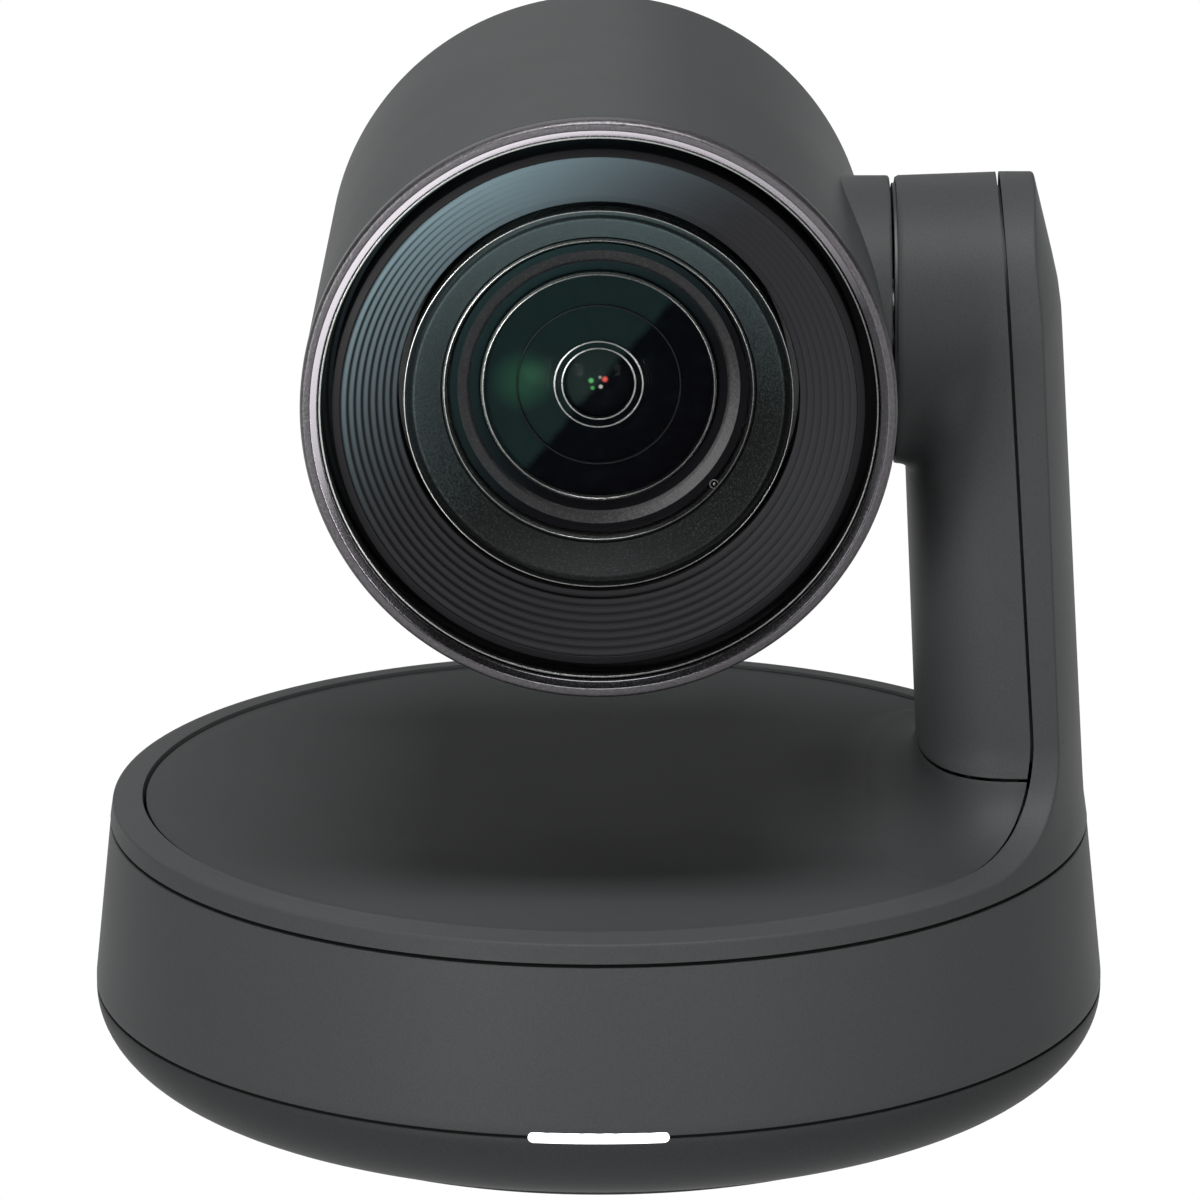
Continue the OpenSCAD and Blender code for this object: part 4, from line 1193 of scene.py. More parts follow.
@dataclass
class OuterShell:
    """Outer moulding of the arm, which carries on round the top as its rim."""

    rim_columns: int = 150
    sweep_columns: int = 22
    side_columns: int = 30
    top_columns: int = 52
    wall_rows: int = 26
    edge_r: float = 0.4

    def build(self) -> bpy.types.Object:
        """Models the shell and gives it its wall."""
        columns = [self.column(*station) for station in self.stations()]
        columns.append(columns[0])
        rows = [[column[i] for column in columns] for i in range(len(columns[0]))]
        piece = Modeller.sheet("arm_outer_shell", rows, (20.0, 0, 60.0))
        Modeller.wall(piece, 1.8, 0.22)
        self.seam_lip()
        return finish_piece(piece, "shell", Body.TOP, Slot.SHELL, ["outer_shell"], 40)

    def seam_lip(self) -> None:
        """Black lip behind the arm's seam, which closes the gap between the covers; its black stands for the shade
        in the gap.
        """
        inset, reach_x, start_z = 2.1, 1.8, ARM.sweep_z - 4.0
        line = []
        for seam, _, _, _ in list(self.stations())[self.rim_columns + 2:]:
            if seam.z <= start_z:
                continue
            out = Vector((0, math.copysign(1.0, seam.y), 0))
            if seam.z > SIZES.tilt_z:
                out = Vector((0, seam.y, seam.z - SIZES.tilt_z)).normalized()
            line.append(seam - out * inset)
        rows = [[(p.x + side, p.y, p.z) for p in line] for side in (-reach_x, 0.0, reach_x)]
        piece = Modeller.sheet("arm_seam_lip_painted_shade", rows, (60.0, 0, 90.0))
        Modeller.modify(piece, "SOLIDIFY", thickness=0.8 * MM, offset=-1.0)
        finish_piece(piece, "panel", Body.TOP, Slot.BLACK)

    def on_cone(self, y: float, z: float) -> Vector:
        """Point of the arm's outer face at a depth and height."""
        return Vector((math.sqrt(max(ARM.outer_r(z) ** 2 - y * y, 0)), y, z))

    def stations(self) -> Iterable[tuple[Vector, Vector, Point, float]]:
        """Stations round the seam.

        Yields:
            The seam point, the edge point, the outline's outward normal in YZ, and the angle in
            degrees at which the outer wall's line meets the lower edge.
        """
        end_y = ARM.foot_half + ARM.sweep_w
        seam_r = ARM.seam_r + ARM.gap / 2
        end = math.degrees(math.asin(end_y / seam_r))
        edge_z = SIZES.rim_top_z - 0.6
        for i in range(self.rim_columns):
            turn = end + (360 - 2 * end) * i / self.rim_columns
            c, s = math.cos(math.radians(turn)), math.sin(math.radians(turn))
            r = ARM.outer_r(edge_z)
            yield (Vector((seam_r * c, seam_r * s, SIZES.rim_top_z)),
                   Vector((r * c, r * s, edge_z)), (0.0, 1.0), turn)
        side = list(self.half_stations(seam_r))
        yield from side
        for i in range(1, self.top_columns):
            t = math.pi * i / self.top_columns
            y, z = -ARM.top_r * math.cos(t), SIZES.tilt_z + ARM.top_r * math.sin(t)
            seam = Vector((ARM.split_at(z) + ARM.gap / 2, y, z))
            yield (seam, self.on_cone(y, z), (-math.cos(t), math.sin(t)),
                   -15.0 * math.cos(t))
        for seam, edge, (ny, nz), turn in reversed(side):
            yield (Vector((seam.x, -seam.y, seam.z)), Vector((edge.x, -edge.y, edge.z)),
                   (-ny, nz), -turn)

    def half_stations(self, seam_r: float) -> Iterable[tuple[Vector, Vector, Point, float]]:
        """Stations along the front sweep and the front side, upwards.

        Args:
            seam_r: Radius of the seam on the rim.

        Yields:
            The same as stations().
        """
        for i in range(self.sweep_columns):
            a = math.radians(90 * (1 - i / self.sweep_columns))
            depth = ARM.foot_half + ARM.sweep_w * (1 - math.cos(a))
            z = ARM.sweep_z - ARM.sweep_h * math.sin(a)
            seam = Vector((math.sqrt(seam_r ** 2 - depth ** 2), -depth, z))
            low_share = ease(a / (math.pi / 2))
            edge_z = z - 0.6 * low_share
            r = ARM.outer_r(edge_z)
            radial = r * depth / seam_r
            y = -(depth + (radial - depth) * low_share)
            n = Vector((ARM.sweep_h * math.cos(a), ARM.sweep_w * math.sin(a))).normalized()
            edge = self.on_cone(y, edge_z)
            yield seam, edge, (-n.x, n.y), math.degrees(math.atan2(edge.y, edge.x))
        first = math.degrees(math.asin(ARM.foot_half / ARM.outer_r(ARM.sweep_z)))
        for i in range(self.side_columns + 1):
            share = i / self.side_columns
            z = ARM.sweep_z + (SIZES.tilt_z - ARM.sweep_z) * share
            y = -ARM.half_depth(z)
            seam = Vector((ARM.seam_x(y, z, -ARM.gap / 2), y, z))
            yield seam, self.on_cone(y, z), (-1.0, 0.0), -(first + (15.0 - first) * share)

    def column(self, seam: Vector, edge: Vector, normal: Point, turn: float) -> list[Point3]:
        """Line of points from the seam over the edge and down the wall.

        Args:
            seam: Point on the seam.
            edge: Point on the outer edge.
            normal: Outward normal of the side outline, in YZ.
            turn: Angle in degrees at which the line ends.

        Returns:
            The points.
        """
        y, z = edge.y - normal[0] * self.edge_r, edge.z - normal[1] * self.edge_r
        if edge.x < 0 or abs(normal[1]) > 0.999 and edge.z < SIZES.rim_top_z:
            c = math.atan2(edge.y, edge.x)
            r = ARM.outer_r(z)
            first = Vector((r * math.cos(c), r * math.sin(c), z))
        else:
            first = self.on_cone(y, z)
        band = (seam - edge).normalized() * min(self.edge_r, (seam - edge).length * 0.4)
        start = edge + band
        points = [seam.lerp(start, k / 4) for k in range(4)]
        for k in range(5):
            t = k / 4
            points.append(start * (1 - t) ** 2 + edge * 2 * t * (1 - t) + first * t * t)
        begin = math.atan2(first.y, first.x)
        end = math.radians(turn)
        if end - begin > math.pi:
            end -= 2 * math.pi
        if begin - end > math.pi:
            end += 2 * math.pi
        for k in range(1, self.wall_rows + 1):
            t = k / self.wall_rows
            height = first.z + (SIZES.rim_z - first.z) * t
            around = begin + (end - begin) * t
            r = ARM.outer_r(height)
            points.append(Vector((r * math.cos(around), r * math.sin(around), height)))
        return [tuple(p) for p in points]


@dataclass
class TopPlate:
    """Round plate of the turning top, with the boot that rises to the column."""

    boot_columns: int = 56
    boot_rows: int = 20
    plate_rows: int = 26
    plate_r: float = 68.15
    plate_z: float = SIZES.rim_top_z - 0.4
    dish: float = 0.5

    def build(self) -> bpy.types.Object:
        """Models the plate and gives it its wall."""
        piece = Modeller.sheet("top_plate_boot", mirrored(self.boot() + self.plate()),
                               (50.0, 0, 0.0))
        Modeller.wall(piece, 1.6, 0.2)
        return finish_piece(piece, "top", Body.TOP, Slot.SHELL, ["top_plate"], 40)

    def boot(self) -> list[list[Point3]]:
        """Rows from the column's seam down to the plate."""
        top = ARM.boot_top_z - ARM.gap / 2
        height = ARM.sweep_z - self.plate_z
        start = math.asin((ARM.sweep_z - top) / height)
        rows = []
        for i in range(self.boot_rows + 1):
            a = start + (math.pi / 2 - start) * i / self.boot_rows
            z = ARM.sweep_z - height * math.sin(a)
            rows.append([(x, min(y, 0.0), z) for x, y in self.section(z)])
        return rows

    def section(self, z: float) -> list[Point]:
        """Section of the boot at a height, inside the seam."""
        return ARM.column_section(z, self.boot_columns, 0.35)

    def plate(self) -> list[list[Point3]]:
        """Rows from the boot's foot out to the plate's edge."""
        foot = self.section(self.plate_z)
        start = math.atan2(-foot[0][1], foot[0][0])
        rows = []
        for k in range(1, self.plate_rows + 1):
            share = k / self.plate_rows
            row = []
            for i, (x, y) in enumerate(foot):
                turn = -(start + (math.pi - start) * i / self.boot_columns)
                far_x, far_y = self.plate_r * math.cos(turn), self.plate_r * math.sin(turn)
                px, py = x + (far_x - x) * share, y + (far_y - y) * share
                hollow = self.dish * (1 - (math.hypot(px, py) / self.plate_r) ** 2)
                lift = ease(min(share * 3, 1.0))
                row.append((px, min(py, 0.0), self.plate_z - max(hollow, 0.0) * lift))
            rows.append(row)
        return rows


# ---- base ----


@dataclass
class BaseCovers:
    """Lower shell, ring wall, foot and light bar of the base."""

    wall_t: float = 2.4
    edge_w: float = 18.0
    screw_r: float = SIZES.base_r - 33
    foot_r: float = SIZES.base_r - 24
    light_half: float = 10.25
    light_h: float = 1.65

    def build(self) -> None:
        """Models and dresses the pieces."""
        self.lower_shell()
        self.ring_wall()
        self.foot_pad()
        self.light_bar()

    def lower_shell(self) -> None:
        """Dish of the base, with the lip that closes the lower seam from behind."""
        r, z0 = SIZES.base_r, SIZES.floor_z
        top = SIZES.seam_z - 0.3
        outer = self.quarter(self.edge_w, top, top - z0, 22)
        rim = [(r - 0.06, top + 0.12), (r - 0.22, top + 0.2)]
        lip = [(r - 2.5, top + 0.2), (r - 2.62, top + 0.3), (r - 2.62, top + 2.4),
               (r - 4.0, top + 2.4)]
        inner = self.quarter(self.edge_w - 4.2, top, top - z0 - 2.2, 14)[::-1]
        groove = [(5.2, z0 + 2.2), (5.2, z0 + 0.2), (5.4, z0), (self.foot_r - 0.4, z0),
                  (self.foot_r - 0.3, z0 + 0.8), (self.foot_r + 6.3, z0 + 0.8),
                  (self.foot_r + 6.4, z0)]
        outline = outer[1:] + rim + lip + inner + groove
        piece = Modeller.turned("base_lower_shell", outline, Turn.UPRIGHT, 192)
        self.open_screw_holes(piece)
        # The dish takes the shell plastic made darker: painted shade.
        finish_piece(piece, "painted_shade_shell", Body.BASE, Slot.SHELL, ["lower_shell"], 30)

    def quarter(self, wide: float, top: float, tall: float, steps: int) -> list[Point]:
        """Quarter of an ellipse, from its lowest point out to its widest.

        Args:
            wide: Half width.
            top: Height of its centre.
            tall: Half height.
            steps: Number of chords.

        Returns:
            The points.
        """
        hub = SIZES.base_r - self.edge_w
        turns = [math.pi / 2 * i / steps for i in range(steps + 1)]
        return [(hub + wide * math.sin(t), top - tall * math.cos(t)) for t in turns]

    def open_screw_holes(self, piece: bpy.types.Object) -> None:
        """Sinks a round pocket round each base screw."""
        for turn in (45, 135, 225, 315):
            x = self.screw_r * math.cos(math.radians(turn))
            y = self.screw_r * math.sin(math.radians(turn))
            deselect_all()
            bpy.ops.mesh.primitive_cylinder_add(vertices=40, radius=2.9 * MM, depth=5 * MM,
                                                location=(0, 0, 0))
            tool = bpy.context.object
            Modeller.shift((x * MM, y * MM, (SIZES.floor_z - 0.4) * MM))
            Modeller.cut(piece, [tool])

    def ring_wall(self) -> None:
        """Wall between the seams, with the window of the ports at the back."""
        r0, z0 = SIZES.base_r, SIZES.seam_z + 0.3
        r1, z1 = SIZES.rim_r, SIZES.ring_top_z
        corners = [(r0, z0, 0.25), (r0, z0 + 1.2, 0.6), (r1, z1, 0.3), (r1 - self.wall_t, z1, 0.2),
                   (r0 - self.wall_t, z0 + 1.2, 0), (r0 - self.wall_t, z0, 0)]
        piece = Modeller.turned("base_ring_wall", rounded(corners, 4), Turn.UPRIGHT, 192)
        box_low, box_high = low("port_panel"), high("port_panel")
        window = Modeller.block("port_window", (box_low.x + 1.4, 40.0, box_low.z + 1.4),
                                (box_high.x - 1.4, SIZES.base_r + 5, box_high.z - 1.4), 1.2)
        Modeller.cut(piece, [window])
        finish_piece(piece, "shell", Body.BASE, Slot.SHELL, ["ring_shell"], 30)

    def foot_pad(self) -> None:
        """Rubber ring under the base, with a rounded tread and a groove."""
        r, w = self.foot_r, 6.0
        corners = [(r, 0.0, 0.4), (r + 2.4, 0.0, 0.2), (r + 2.6, 0.35, 0.1), (r + 3.4, 0.35, 0.1),
                   (r + 3.6, 0.0, 0.2), (r + w, 0.0, 0.4), (r + w, 2.75, 0.1), (r, 2.75, 0.1)]
        piece = Modeller.turned("foot_pad", rounded(corners, 3), Turn.UPRIGHT, 144)
        finish_piece(piece, "rubber", Body.BASE, Slot.FOOT, ["foot_ring"])

    def light_bar(self) -> None:
        """Long light in the lower seam, bent to the base's round."""
        half, height = self.light_half, self.light_h
        radius = height / 2
        middle = SIZES.seam_z + 0.12
        rows = []
        spots = [-half + radius * (1 - math.cos(math.pi / 2 * i / 6)) for i in range(7)]
        straight = [spots[-1] + (-2 * spots[-1]) * i / 20 for i in range(1, 20)]
        xs = spots + straight + [-x for x in reversed(spots)]
        for k in range(9):
            share = math.sin(math.pi / 2 * (k / 4 - 1))
            row = []
            for x in xs:
                over = max(abs(x) - (half - radius), 0.0)
                rise = math.sqrt(max(radius ** 2 - over ** 2, 0.0)) * share
                dome = 0.10 * (1 - (rise / radius) ** 2)
                r = SIZES.base_r - 0.02 + dome
                row.append((x, -math.sqrt(r * r - x * x), middle + rise))
            rows.append(row)
        piece = Modeller.sheet("light_bar_diffuser", rows, (0, 0, middle))
        Modeller.modify(piece, "SOLIDIFY", thickness=1.5 * MM, offset=-1.0)
        finish_piece(piece, "lamp", Body.BASE, Slot.LIGHT, ["light_bar"], 40)


# ---- head ----


@dataclass
class HeadCovers:
    """Barrel of the head with its side stub, and the cap at its back."""

    wall_t: float = 2.2
    taper: float = 2.2
    edge_r: float = 2.4
    stub_r: float = 21.4

    def build(self) -> None:
        """Models and dresses the pieces."""
        self.barrel()
        self.cap()

    def radius_at(self, y: float) -> float:
        """Radius of the barrel at a place along the lens axis."""
        share = (y - SIZES.front_y) / (SIZES.back_y - SIZES.front_y)
        return SIZES.head_r - self.taper * share

    def barrel(self) -> None:
        """Barrel and stub, as one moulding."""
        front = SIZES.front_y + 3.2
        back = SIZES.back_y - 0.6
        r_back = self.radius_at(back)
        cap_r = SIZES.head_r - self.taper - 4.3
        corners = [(self.radius_at(front), front, 0.3), (r_back, back, self.edge_r),
                   (cap_r + 0.1, back, 0.25), (cap_r + 0.1, back - self.wall_t, 0),
                   (r_back - self.wall_t - 0.6, back - self.wall_t, 0),
                   (self.radius_at(front) - self.wall_t, front, 0.15)]
        piece = Modeller.turned("head_barrel", rounded(corners, 6), Turn.LENS, 192)
        end = SIZES.head_r + 0.1
        stub = Modeller.turned("stub", rounded([
            (self.stub_r, 30.0, 0), (self.stub_r, end, 0.5), (6.6, end, 0.2), (6.6, end - 2, 0),
            (self.stub_r - 2, end - 2, 0), (self.stub_r - 2, 30.0, 0)], 4), Turn.TILT, 144)
        Modeller.cut(piece, [stub], "UNION")
        finish_piece(piece, "shell", Body.HEAD, Slot.SHELL, ["head_shell"], 30)

    def cap(self) -> None:
        """Cap at the back, with a raised ring and fine vent slots."""
        r = SIZES.head_r - self.taper - 4.5
        y = SIZES.back_y
        corners = [(0.0, y - 2.4, 0), (r, y - 2.4, 0.1), (r, y - 0.45, 0.5),
                   (r - 2.6, y - 0.05, 0.3), (r - 3.0, y - 0.45, 0.15), (r - 3.8, y - 0.45, 0.15),
                   (r - 4.2, y - 0.1, 0.3), (0.0, y, 0)]
        piece = Modeller.turned("head_rear_cap", rounded(corners, 3), Turn.LENS, 160)
        slots = []
        for k in range(-4, 5):
            half = 13.0 - 0.35 * k * k
            z = SIZES.tilt_z + k * 3.0
            slots.append(Modeller.block(f"vent_{k + 4}", (-half, y - 1.2, z - 0.55),
                                        (half, y + 1.0, z + 0.55), 0.5))
        Modeller.cut(piece, slots)
        finish_piece(piece, "shell", Body.HEAD, Slot.SHELL, ["rear_cap"], 30)


# Outline of each ring of the cell: name, finish, slot, chords round the axis and corners. Most finishes carry
# painted light: highlights on the ring edges, a green glow on the steps and a lit crescent on the wall.
CELL: tuple[tuple[str, str, Slot, int, tuple[Corner, ...]], ...] = (
    ("cell_step_outer", "cell_outer_painted_light", Slot.BLACK, 128,
     ((21.6, 13.4, 0), (17.3, 15.0, 0.2), (17.2, 16.5, 0), (21.6, 16.5, 0))),
    ("cell_ring_bright", "ring_edge", Slot.TRIM, 128,
     ((17.2, 14.2, 0.15), (16.75, 13.9, 0.15), (16.5, 14.6, 0), (17.2, 14.9, 0))),
    ("cell_step_middle", "flare", Slot.BLACK, 128,
     ((16.8, 15.0, 0.2), (12.0, 15.4, 0.1), (11.9, 15.9, 0), (16.8, 15.9, 0))),
    ("cell_ring_faint", "baffle", Slot.BLACK, 128,
     ((12.0, 15.15, 0.1), (11.8, 15.05, 0.1), (11.7, 15.9, 0), (12.0, 15.9, 0))),
    ("cell_step_inner", "flare", Slot.BLACK, 128,
     ((11.75, 15.6, 0.1), (7.4, 15.7, 0.1), (7.3, 16.2, 0), (11.75, 16.2, 0))),
    ("cell_ring_first", "ring_edge", Slot.TRIM, 96,
     ((6.55, 15.45, 0.06), (6.3, 15.4, 0.06), (6.25, 16.2, 0), (6.6, 16.2, 0))),
    ("cell_ring_second", "ring_edge", Slot.TRIM, 96,
     ((5.45, 15.75, 0.06), (5.2, 15.7, 0.06), (5.1, 16.4, 0), (5.5, 16.4, 0))),
    ("cell_step_deep", "flare", Slot.BLACK, 96,
     ((7.5, 15.75, 0.1), (5.3, 16.0, 0.1), (5.2, 16.9, 0), (7.5, 16.9, 0))),
    ("cell_crescent_wall", "crescent", Slot.BLACK, 128,
     ((20.9, 13.75, 0.1), (19.1, 14.0, 0.3), (18.4, 14.9, 0.2), (20.9, 15.2, 0))),
)


@dataclass
class LensFront:
    """Bezel, trim, baffle, rings and glasses of the lens, along the lens axis."""

    glass_r: float = 22.0
    dome_r: float = 30.0
    glass_depth: float = 13.0

    def at(self, depth: float) -> float:
        """Place along Y at a depth behind the front rim."""
        return SIZES.front_y + depth

    def put(self, name: str, corners: Sequence[Corner], finish: str, slot: Slot,
            nodes: Sequence[str] = (), steps: int = 192, angle: float = 30) -> None:
        """Turns a rounded outline of (radius, depth, rounding) and dresses it.

        Args:
            name: Name of the piece.
            corners: Corners of the outline.
            finish: Name of the finish.
            slot: Material slot.
            nodes: CAD nodes that the piece stands for.
            steps: Number of chords round the lens axis.
            angle: Angle past which an edge stays sharp.
        """
        placed = [(r, self.at(depth), turn) for r, depth, turn in corners]
        piece = Modeller.turned(name, rounded(placed, 4), Turn.LENS, steps)
        finish_piece(piece, finish, Body.HEAD, slot, nodes, angle)

    def build(self) -> None:
        """Models and dresses the pieces."""
        r = SIZES.head_r
        self.put("lens_bezel_ring", [
            (r - 1.35, 0.0, 0.15), (r - 0.35, 0.0, 0.3), (r, 0.7, 0.3), (r - 0.02, 2.8, 0.2),
            (r - 2.2, 2.8, 0), (r - 2.2, 1.2, 0)], "bezel", Slot.BEZEL, ["lens_bezel"])
        self.put("bezel_trim_ring", [
            (r - 1.4, 0.12, 0.15), (r - 2.45, 0.75, 0.2), (r - 2.6, 2.4, 0), (r - 1.6, 2.4, 0)],
            "trim", Slot.TRIM, ["bezel_trim"])
        self.put("bezel_inner_lip", [
            (r - 2.65, 1.5, 0.1), (r - 2.95, 1.5, 0.1), (r - 3.0, 5.0, 0), (r - 2.65, 5.0, 0)],
            "ring_edge", Slot.BLACK)
        self.baffle()
        self.ring()
        self.glass()
        self.inner_rings()

    def baffle(self) -> None:
        """Conical hood with fine steps, and the black channel outside it."""
        corners: list[Corner] = [(HOOD_R, 2.1, 0.1)]
        run, rise = (HOOD_R - HOOD_BACK_R) / HOOD_STEPS, 7.0 / HOOD_STEPS
        for i in range(HOOD_STEPS):
            r, d = HOOD_R - i * run, 2.1 + i * rise
            corners += [(r - run + 0.10, d + 0.10, 0.10), (r - run + 0.28, d + 0.70, 0.0),
                        (r - run, d + rise, 0.03)]
        trim_in = SIZES.head_r - 1.4
        corners += [(HOOD_BACK_R, 13.0, 0), (HOOD_BACK_R + 2, 13.0, 0),
                    (HOOD_BACK_R + 2, 11.0, 0), (trim_in - 1.3, 11.0, 0),
                    (trim_in - 1.3, 9.2, 0), (HOOD_R, 9.2, 0)]
        self.put("baffle_hood", corners, "baffle", Slot.BLACK, ["baffle_cone"], 192, 25)
        self.put("baffle_lip", [
            (HOOD_R + 1.25, 2.3, 0.2), (HOOD_R + 0.02, 1.95, 0.2),
            (HOOD_R + 0.02, 9.2, 0), (HOOD_R + 1.25, 9.2, 0)], "lens_black", Slot.BLACK)

    def ring(self) -> None:
        """Lens ring: a thin edge with a painted highlight, a black groove and the matte slope to the glass, with
        painted light on its upper side.
        """
        outer = HOOD_BACK_R - 0.8
        g = self.glass_r
        self.put("lens_ring_edge", [(outer, 6.9, 0.1), (outer - 0.22, 6.85, 0.1),
                                    (outer - 0.3, 9.5, 0), (outer, 9.5, 0)],
                 "ring_edge", Slot.TRIM)
        self.put("lens_ring_slope", [
            (outer - 0.3, 9.0, 0), (outer - 1.25, 9.0, 0.1), (outer - 1.3, 7.3, 0.1),
            (outer - 1.6, 7.2, 0.15), (g + 0.9, self.glass_depth - 0.9, 0.2),
            (g + 0.8, self.glass_depth + 4.0, 0), (outer - 0.3, self.glass_depth + 4.0, 0)],
            "lens_ring", Slot.BLACK, ["lens_ring"])
        self.put("glass_retaining_ring", [
            (g + 0.75, self.glass_depth - 1.0, 0.1), (g + 0.35, self.glass_depth - 1.25, 0.15),
            (g + 0.02, self.glass_depth - 0.4, 0.1), (g + 0.02, self.glass_depth + 1.4, 0),
            (g + 0.75, self.glass_depth + 1.4, 0)], "ring_edge", Slot.TRIM, ["glass_retainer"])
        self.index_mark()

    def index_mark(self) -> None:
        """Small ringed dimple on the ring's rim that marks how the lens sits."""
        turn = math.radians(-40)
        at_r = self.glass_r - 0.1
        place = Vector((at_r * math.cos(turn), self.at(self.glass_depth - 0.9),
                        SIZES.tilt_z + at_r * math.sin(turn))) * MM
        deselect_all()
        bpy.ops.mesh.primitive_torus_add(major_radius=0.62 * MM, minor_radius=0.13 * MM,
                                         major_segments=32, minor_segments=10,
                                         rotation=(math.pi / 2, 0, 0))
        ring = bpy.context.object
        bpy.ops.object.transform_apply(location=False, rotation=True, scale=False)
        deselect_all()
        bpy.ops.mesh.primitive_uv_sphere_add(radius=0.3 * MM, segments=20, ring_count=12)
        pin = bpy.context.object
        piece = Modeller.join("lens_index_mark", [ring, pin])
        Modeller.shift(place)
        finish_piece(piece, "ring_edge", Body.HEAD, Slot.TRIM)

    def glass(self) -> None:
        """Domed front glass, thin so that the rings behind show through it."""
        centre = self.glass_depth + math.sqrt(self.dome_r ** 2 - self.glass_r ** 2)
        most = math.degrees(math.asin(self.glass_r / self.dome_r))
        front = self.dome(self.dome_r, centre, most, 30)
        rear = [(r * 0.998, y) for r, y in self.dome(self.dome_r - 1.6, centre, most, 30)]
        piece = Modeller.turned("front_glass_dome", front + rear[::-1], Turn.LENS, 128)
        finish_piece(piece, "glass", Body.HEAD, Slot.GLASS, ["front_glass"], 60)

    def dome(self, radius: float, centre: float, most: float, steps: int) -> list[Point]:
        """Section of a dome, from its tip outwards.

        Args:
            radius: Radius of the dome.
            centre: Depth of its centre behind the front rim.
            most: Angle from its tip to its edge, in degrees.
            steps: Number of chords.

        Returns:
            The points.
        """
        turns = [math.radians(most * i / steps) for i in range(steps + 1)]
        return [(radius * math.sin(t), self.at(centre - radius * math.cos(t))) for t in turns]

    def inner_rings(self) -> None:
        """Stepped cell behind the front glass, with its ring edges in a painted highlight, steps with a painted
        glow and the deep lens with painted glints.
        """
        for name, finish, slot, steps, corners in CELL:
            self.put(name, corners, finish, slot, [], steps)
        cap = self.dome(12.0, 16.0 + 12.0, 25, 10)
        back = [(cap[-1][0], self.at(17.4)), (0.0, self.at(17.4))]
        piece = Modeller.turned("deep_lens", cap + back, Turn.LENS, 96)
        finish_piece(piece, "deep_glass", Body.HEAD, Slot.GLASS, ["inner_glass"], 60)


# ---- the rest ----


class InnerWorks:
    """CAD nodes that keep their meshes and get a finish."""

    def dress(self) -> None:
        """Gives each node that still shows the finish of its slot."""
        slots = self.slot_of_nodes()
        for name, node in frame["nodes"].items():
            if node.hide_render:
                continue
            finish = SLOT_FINISH[slots[name]]
            node.data.materials.clear()
            node.data.materials.append(PALETTE.get(finish))
            LOG.info("%s: keeps its mesh, in %s", name, finish)

    @staticmethod
    def slot_of_nodes() -> dict[str, str]:
        """Material slot of each node, from the record."""
        return {row["node"]: row["material_slot"] for row in frame["record"]["subparts"]}


@dataclass(frozen=True)
class SoftLight:
    """Rectangular studio light."""

    name: str
    azimuth: float
    height: float
    distance: float
    width: float
    tall: float
    power: float


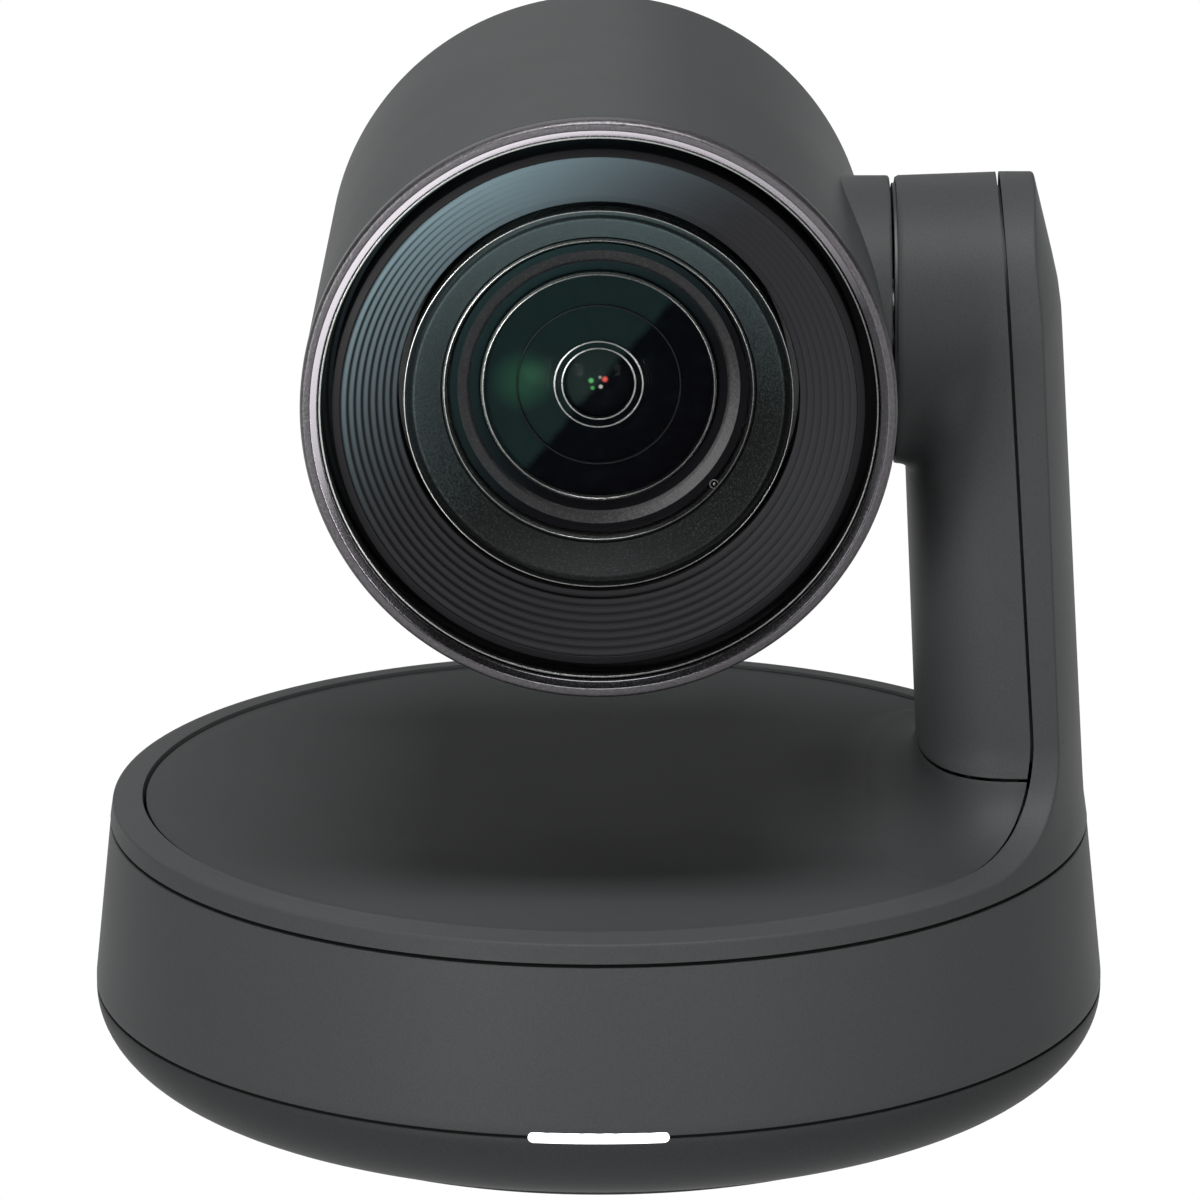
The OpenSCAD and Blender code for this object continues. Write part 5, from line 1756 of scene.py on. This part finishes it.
@dataclass
class Studio:
    """Floor, lights and camera."""

    eye: Point3 = (0.0, -1.4439, 0.4964)
    aim_z: float = 0.0739
    lens_mm: float = 301.05
    shift_x: float = 0.0011
    floor_glow: float = 1.02
    sky: float = 0.08
    under: float = 0.5
    lights: tuple[SoftLight, ...] = (
        SoftLight("light_key", 6, 1.35, 0.26, 0.8, 0.6, 28.0),
        SoftLight("light_left", -27, 0.13, 1.15, 0.24, 0.40, 9.5),
        SoftLight("light_right", 26, 0.13, 1.20, 0.16, 0.40, 3.5),
        SoftLight("light_back", 200, 0.75, 1.60, 1.6, 0.9, 3.5),
    )

    def build(self) -> None:
        """Sets the studio up."""
        self.floor()
        self.world()
        for light in self.lights:
            self.soft_light(light)
        self.camera()

    def floor(self) -> None:
        """White floor that gives off light upwards and cannot be seen from below."""
        deselect_all()
        bpy.ops.mesh.primitive_plane_add(size=40, location=(0, 0, -0.00005))
        floor = bpy.context.object
        floor.name = "studio_floor"
        shader = Shader("floor_white")
        paper = shader.tint(shader.noise(0.001), (0.99, 0.99, 0.99), (1.0, 1.0, 1.0))
        shader.set("Base Color", (0.0, 0.0, 0.0, 1.0))
        shader.set("Emission Color", paper)
        shader.set("Emission Strength", self.floor_glow)
        shader.set("Roughness", 1.0)
        shader.set("Specular IOR Level", 0.0)
        side = shader.node("ShaderNodeNewGeometry").outputs["Backfacing"]
        shader.set("Alpha", shader.maths("SUBTRACT", 1.0, side))
        floor.data.materials.append(shader.material)

    def world(self) -> None:
        """Dim surroundings, brighter below the floor, which does not show from under it."""
        scene = bpy.context.scene
        scene.world = world = bpy.data.worlds.new("studio")
        world.use_nodes = True
        tree = world.node_tree
        back = tree.nodes["Background"]
        back.inputs["Color"].default_value = (1, 1, 1, 1)
        place = tree.nodes.new("ShaderNodeTexCoord").outputs["Generated"]
        split = tree.nodes.new("ShaderNodeSeparateXYZ")
        tree.links.new(place, split.inputs["Vector"])
        blend = tree.nodes.new("ShaderNodeMapRange")
        for key, value in (("From Min", -0.12), ("From Max", -0.04), ("To Min", self.under),
                           ("To Max", self.sky)):
            blend.inputs[key].default_value = value
        tree.links.new(split.outputs["Z"], blend.inputs["Value"])
        tree.links.new(blend.outputs["Result"], back.inputs["Strength"])
        scene.view_settings.view_transform = "Standard"
        scene.view_settings.look = "None"

    def soft_light(self, light: SoftLight) -> None:
        """Places one light and turns it to the object."""
        turn = math.radians(light.azimuth)
        place = Vector((math.sin(turn) * light.distance, -math.cos(turn) * light.distance,
                        light.height))
        data = bpy.data.lights.new(light.name, "AREA")
        data.shape = "RECTANGLE"
        data.size, data.size_y = light.width, light.tall
        data.energy = light.power
        self.mount(light.name, data, place, 0.09)

    def camera(self) -> None:
        """Camera in front of the object, a little above it."""
        data = bpy.data.cameras.new("camera")
        data.lens = self.lens_mm
        data.sensor_width = 36.0
        data.shift_x = self.shift_x
        data.clip_end = 20.0
        bpy.context.scene.camera = self.mount("camera", data, Vector(self.eye), self.aim_z)

    @staticmethod
    def mount(name: str, data: bpy.types.ID, place: Vector, aim_z: float) -> bpy.types.Object:
        """Places a light or camera and turns it to a point over the origin.

        Args:
            name: Name of the object.
            data: The light or camera.
            place: Its place in metres.
            aim_z: Height of the point in metres.

        Returns:
            The object.
        """
        thing = bpy.data.objects.new(name, data)
        bpy.context.scene.collection.objects.link(thing)
        thing.location = place
        way = Vector((0, 0, aim_z)) - place
        thing.rotation_euler = way.to_track_quat("-Z", "Y").to_euler()
        return thing


def main() -> None:
    """Builds the sub-assemblies in order."""
    logging.basicConfig(level=logging.INFO, format="%(message)s")
    BaseCovers().build()
    OuterShell().build()
    InnerCover().build()
    TopPlate().build()
    HeadCovers().build()
    LensFront().build()
    InnerWorks().dress()
    Studio().build()


if __name__ == "__main__":
    main()
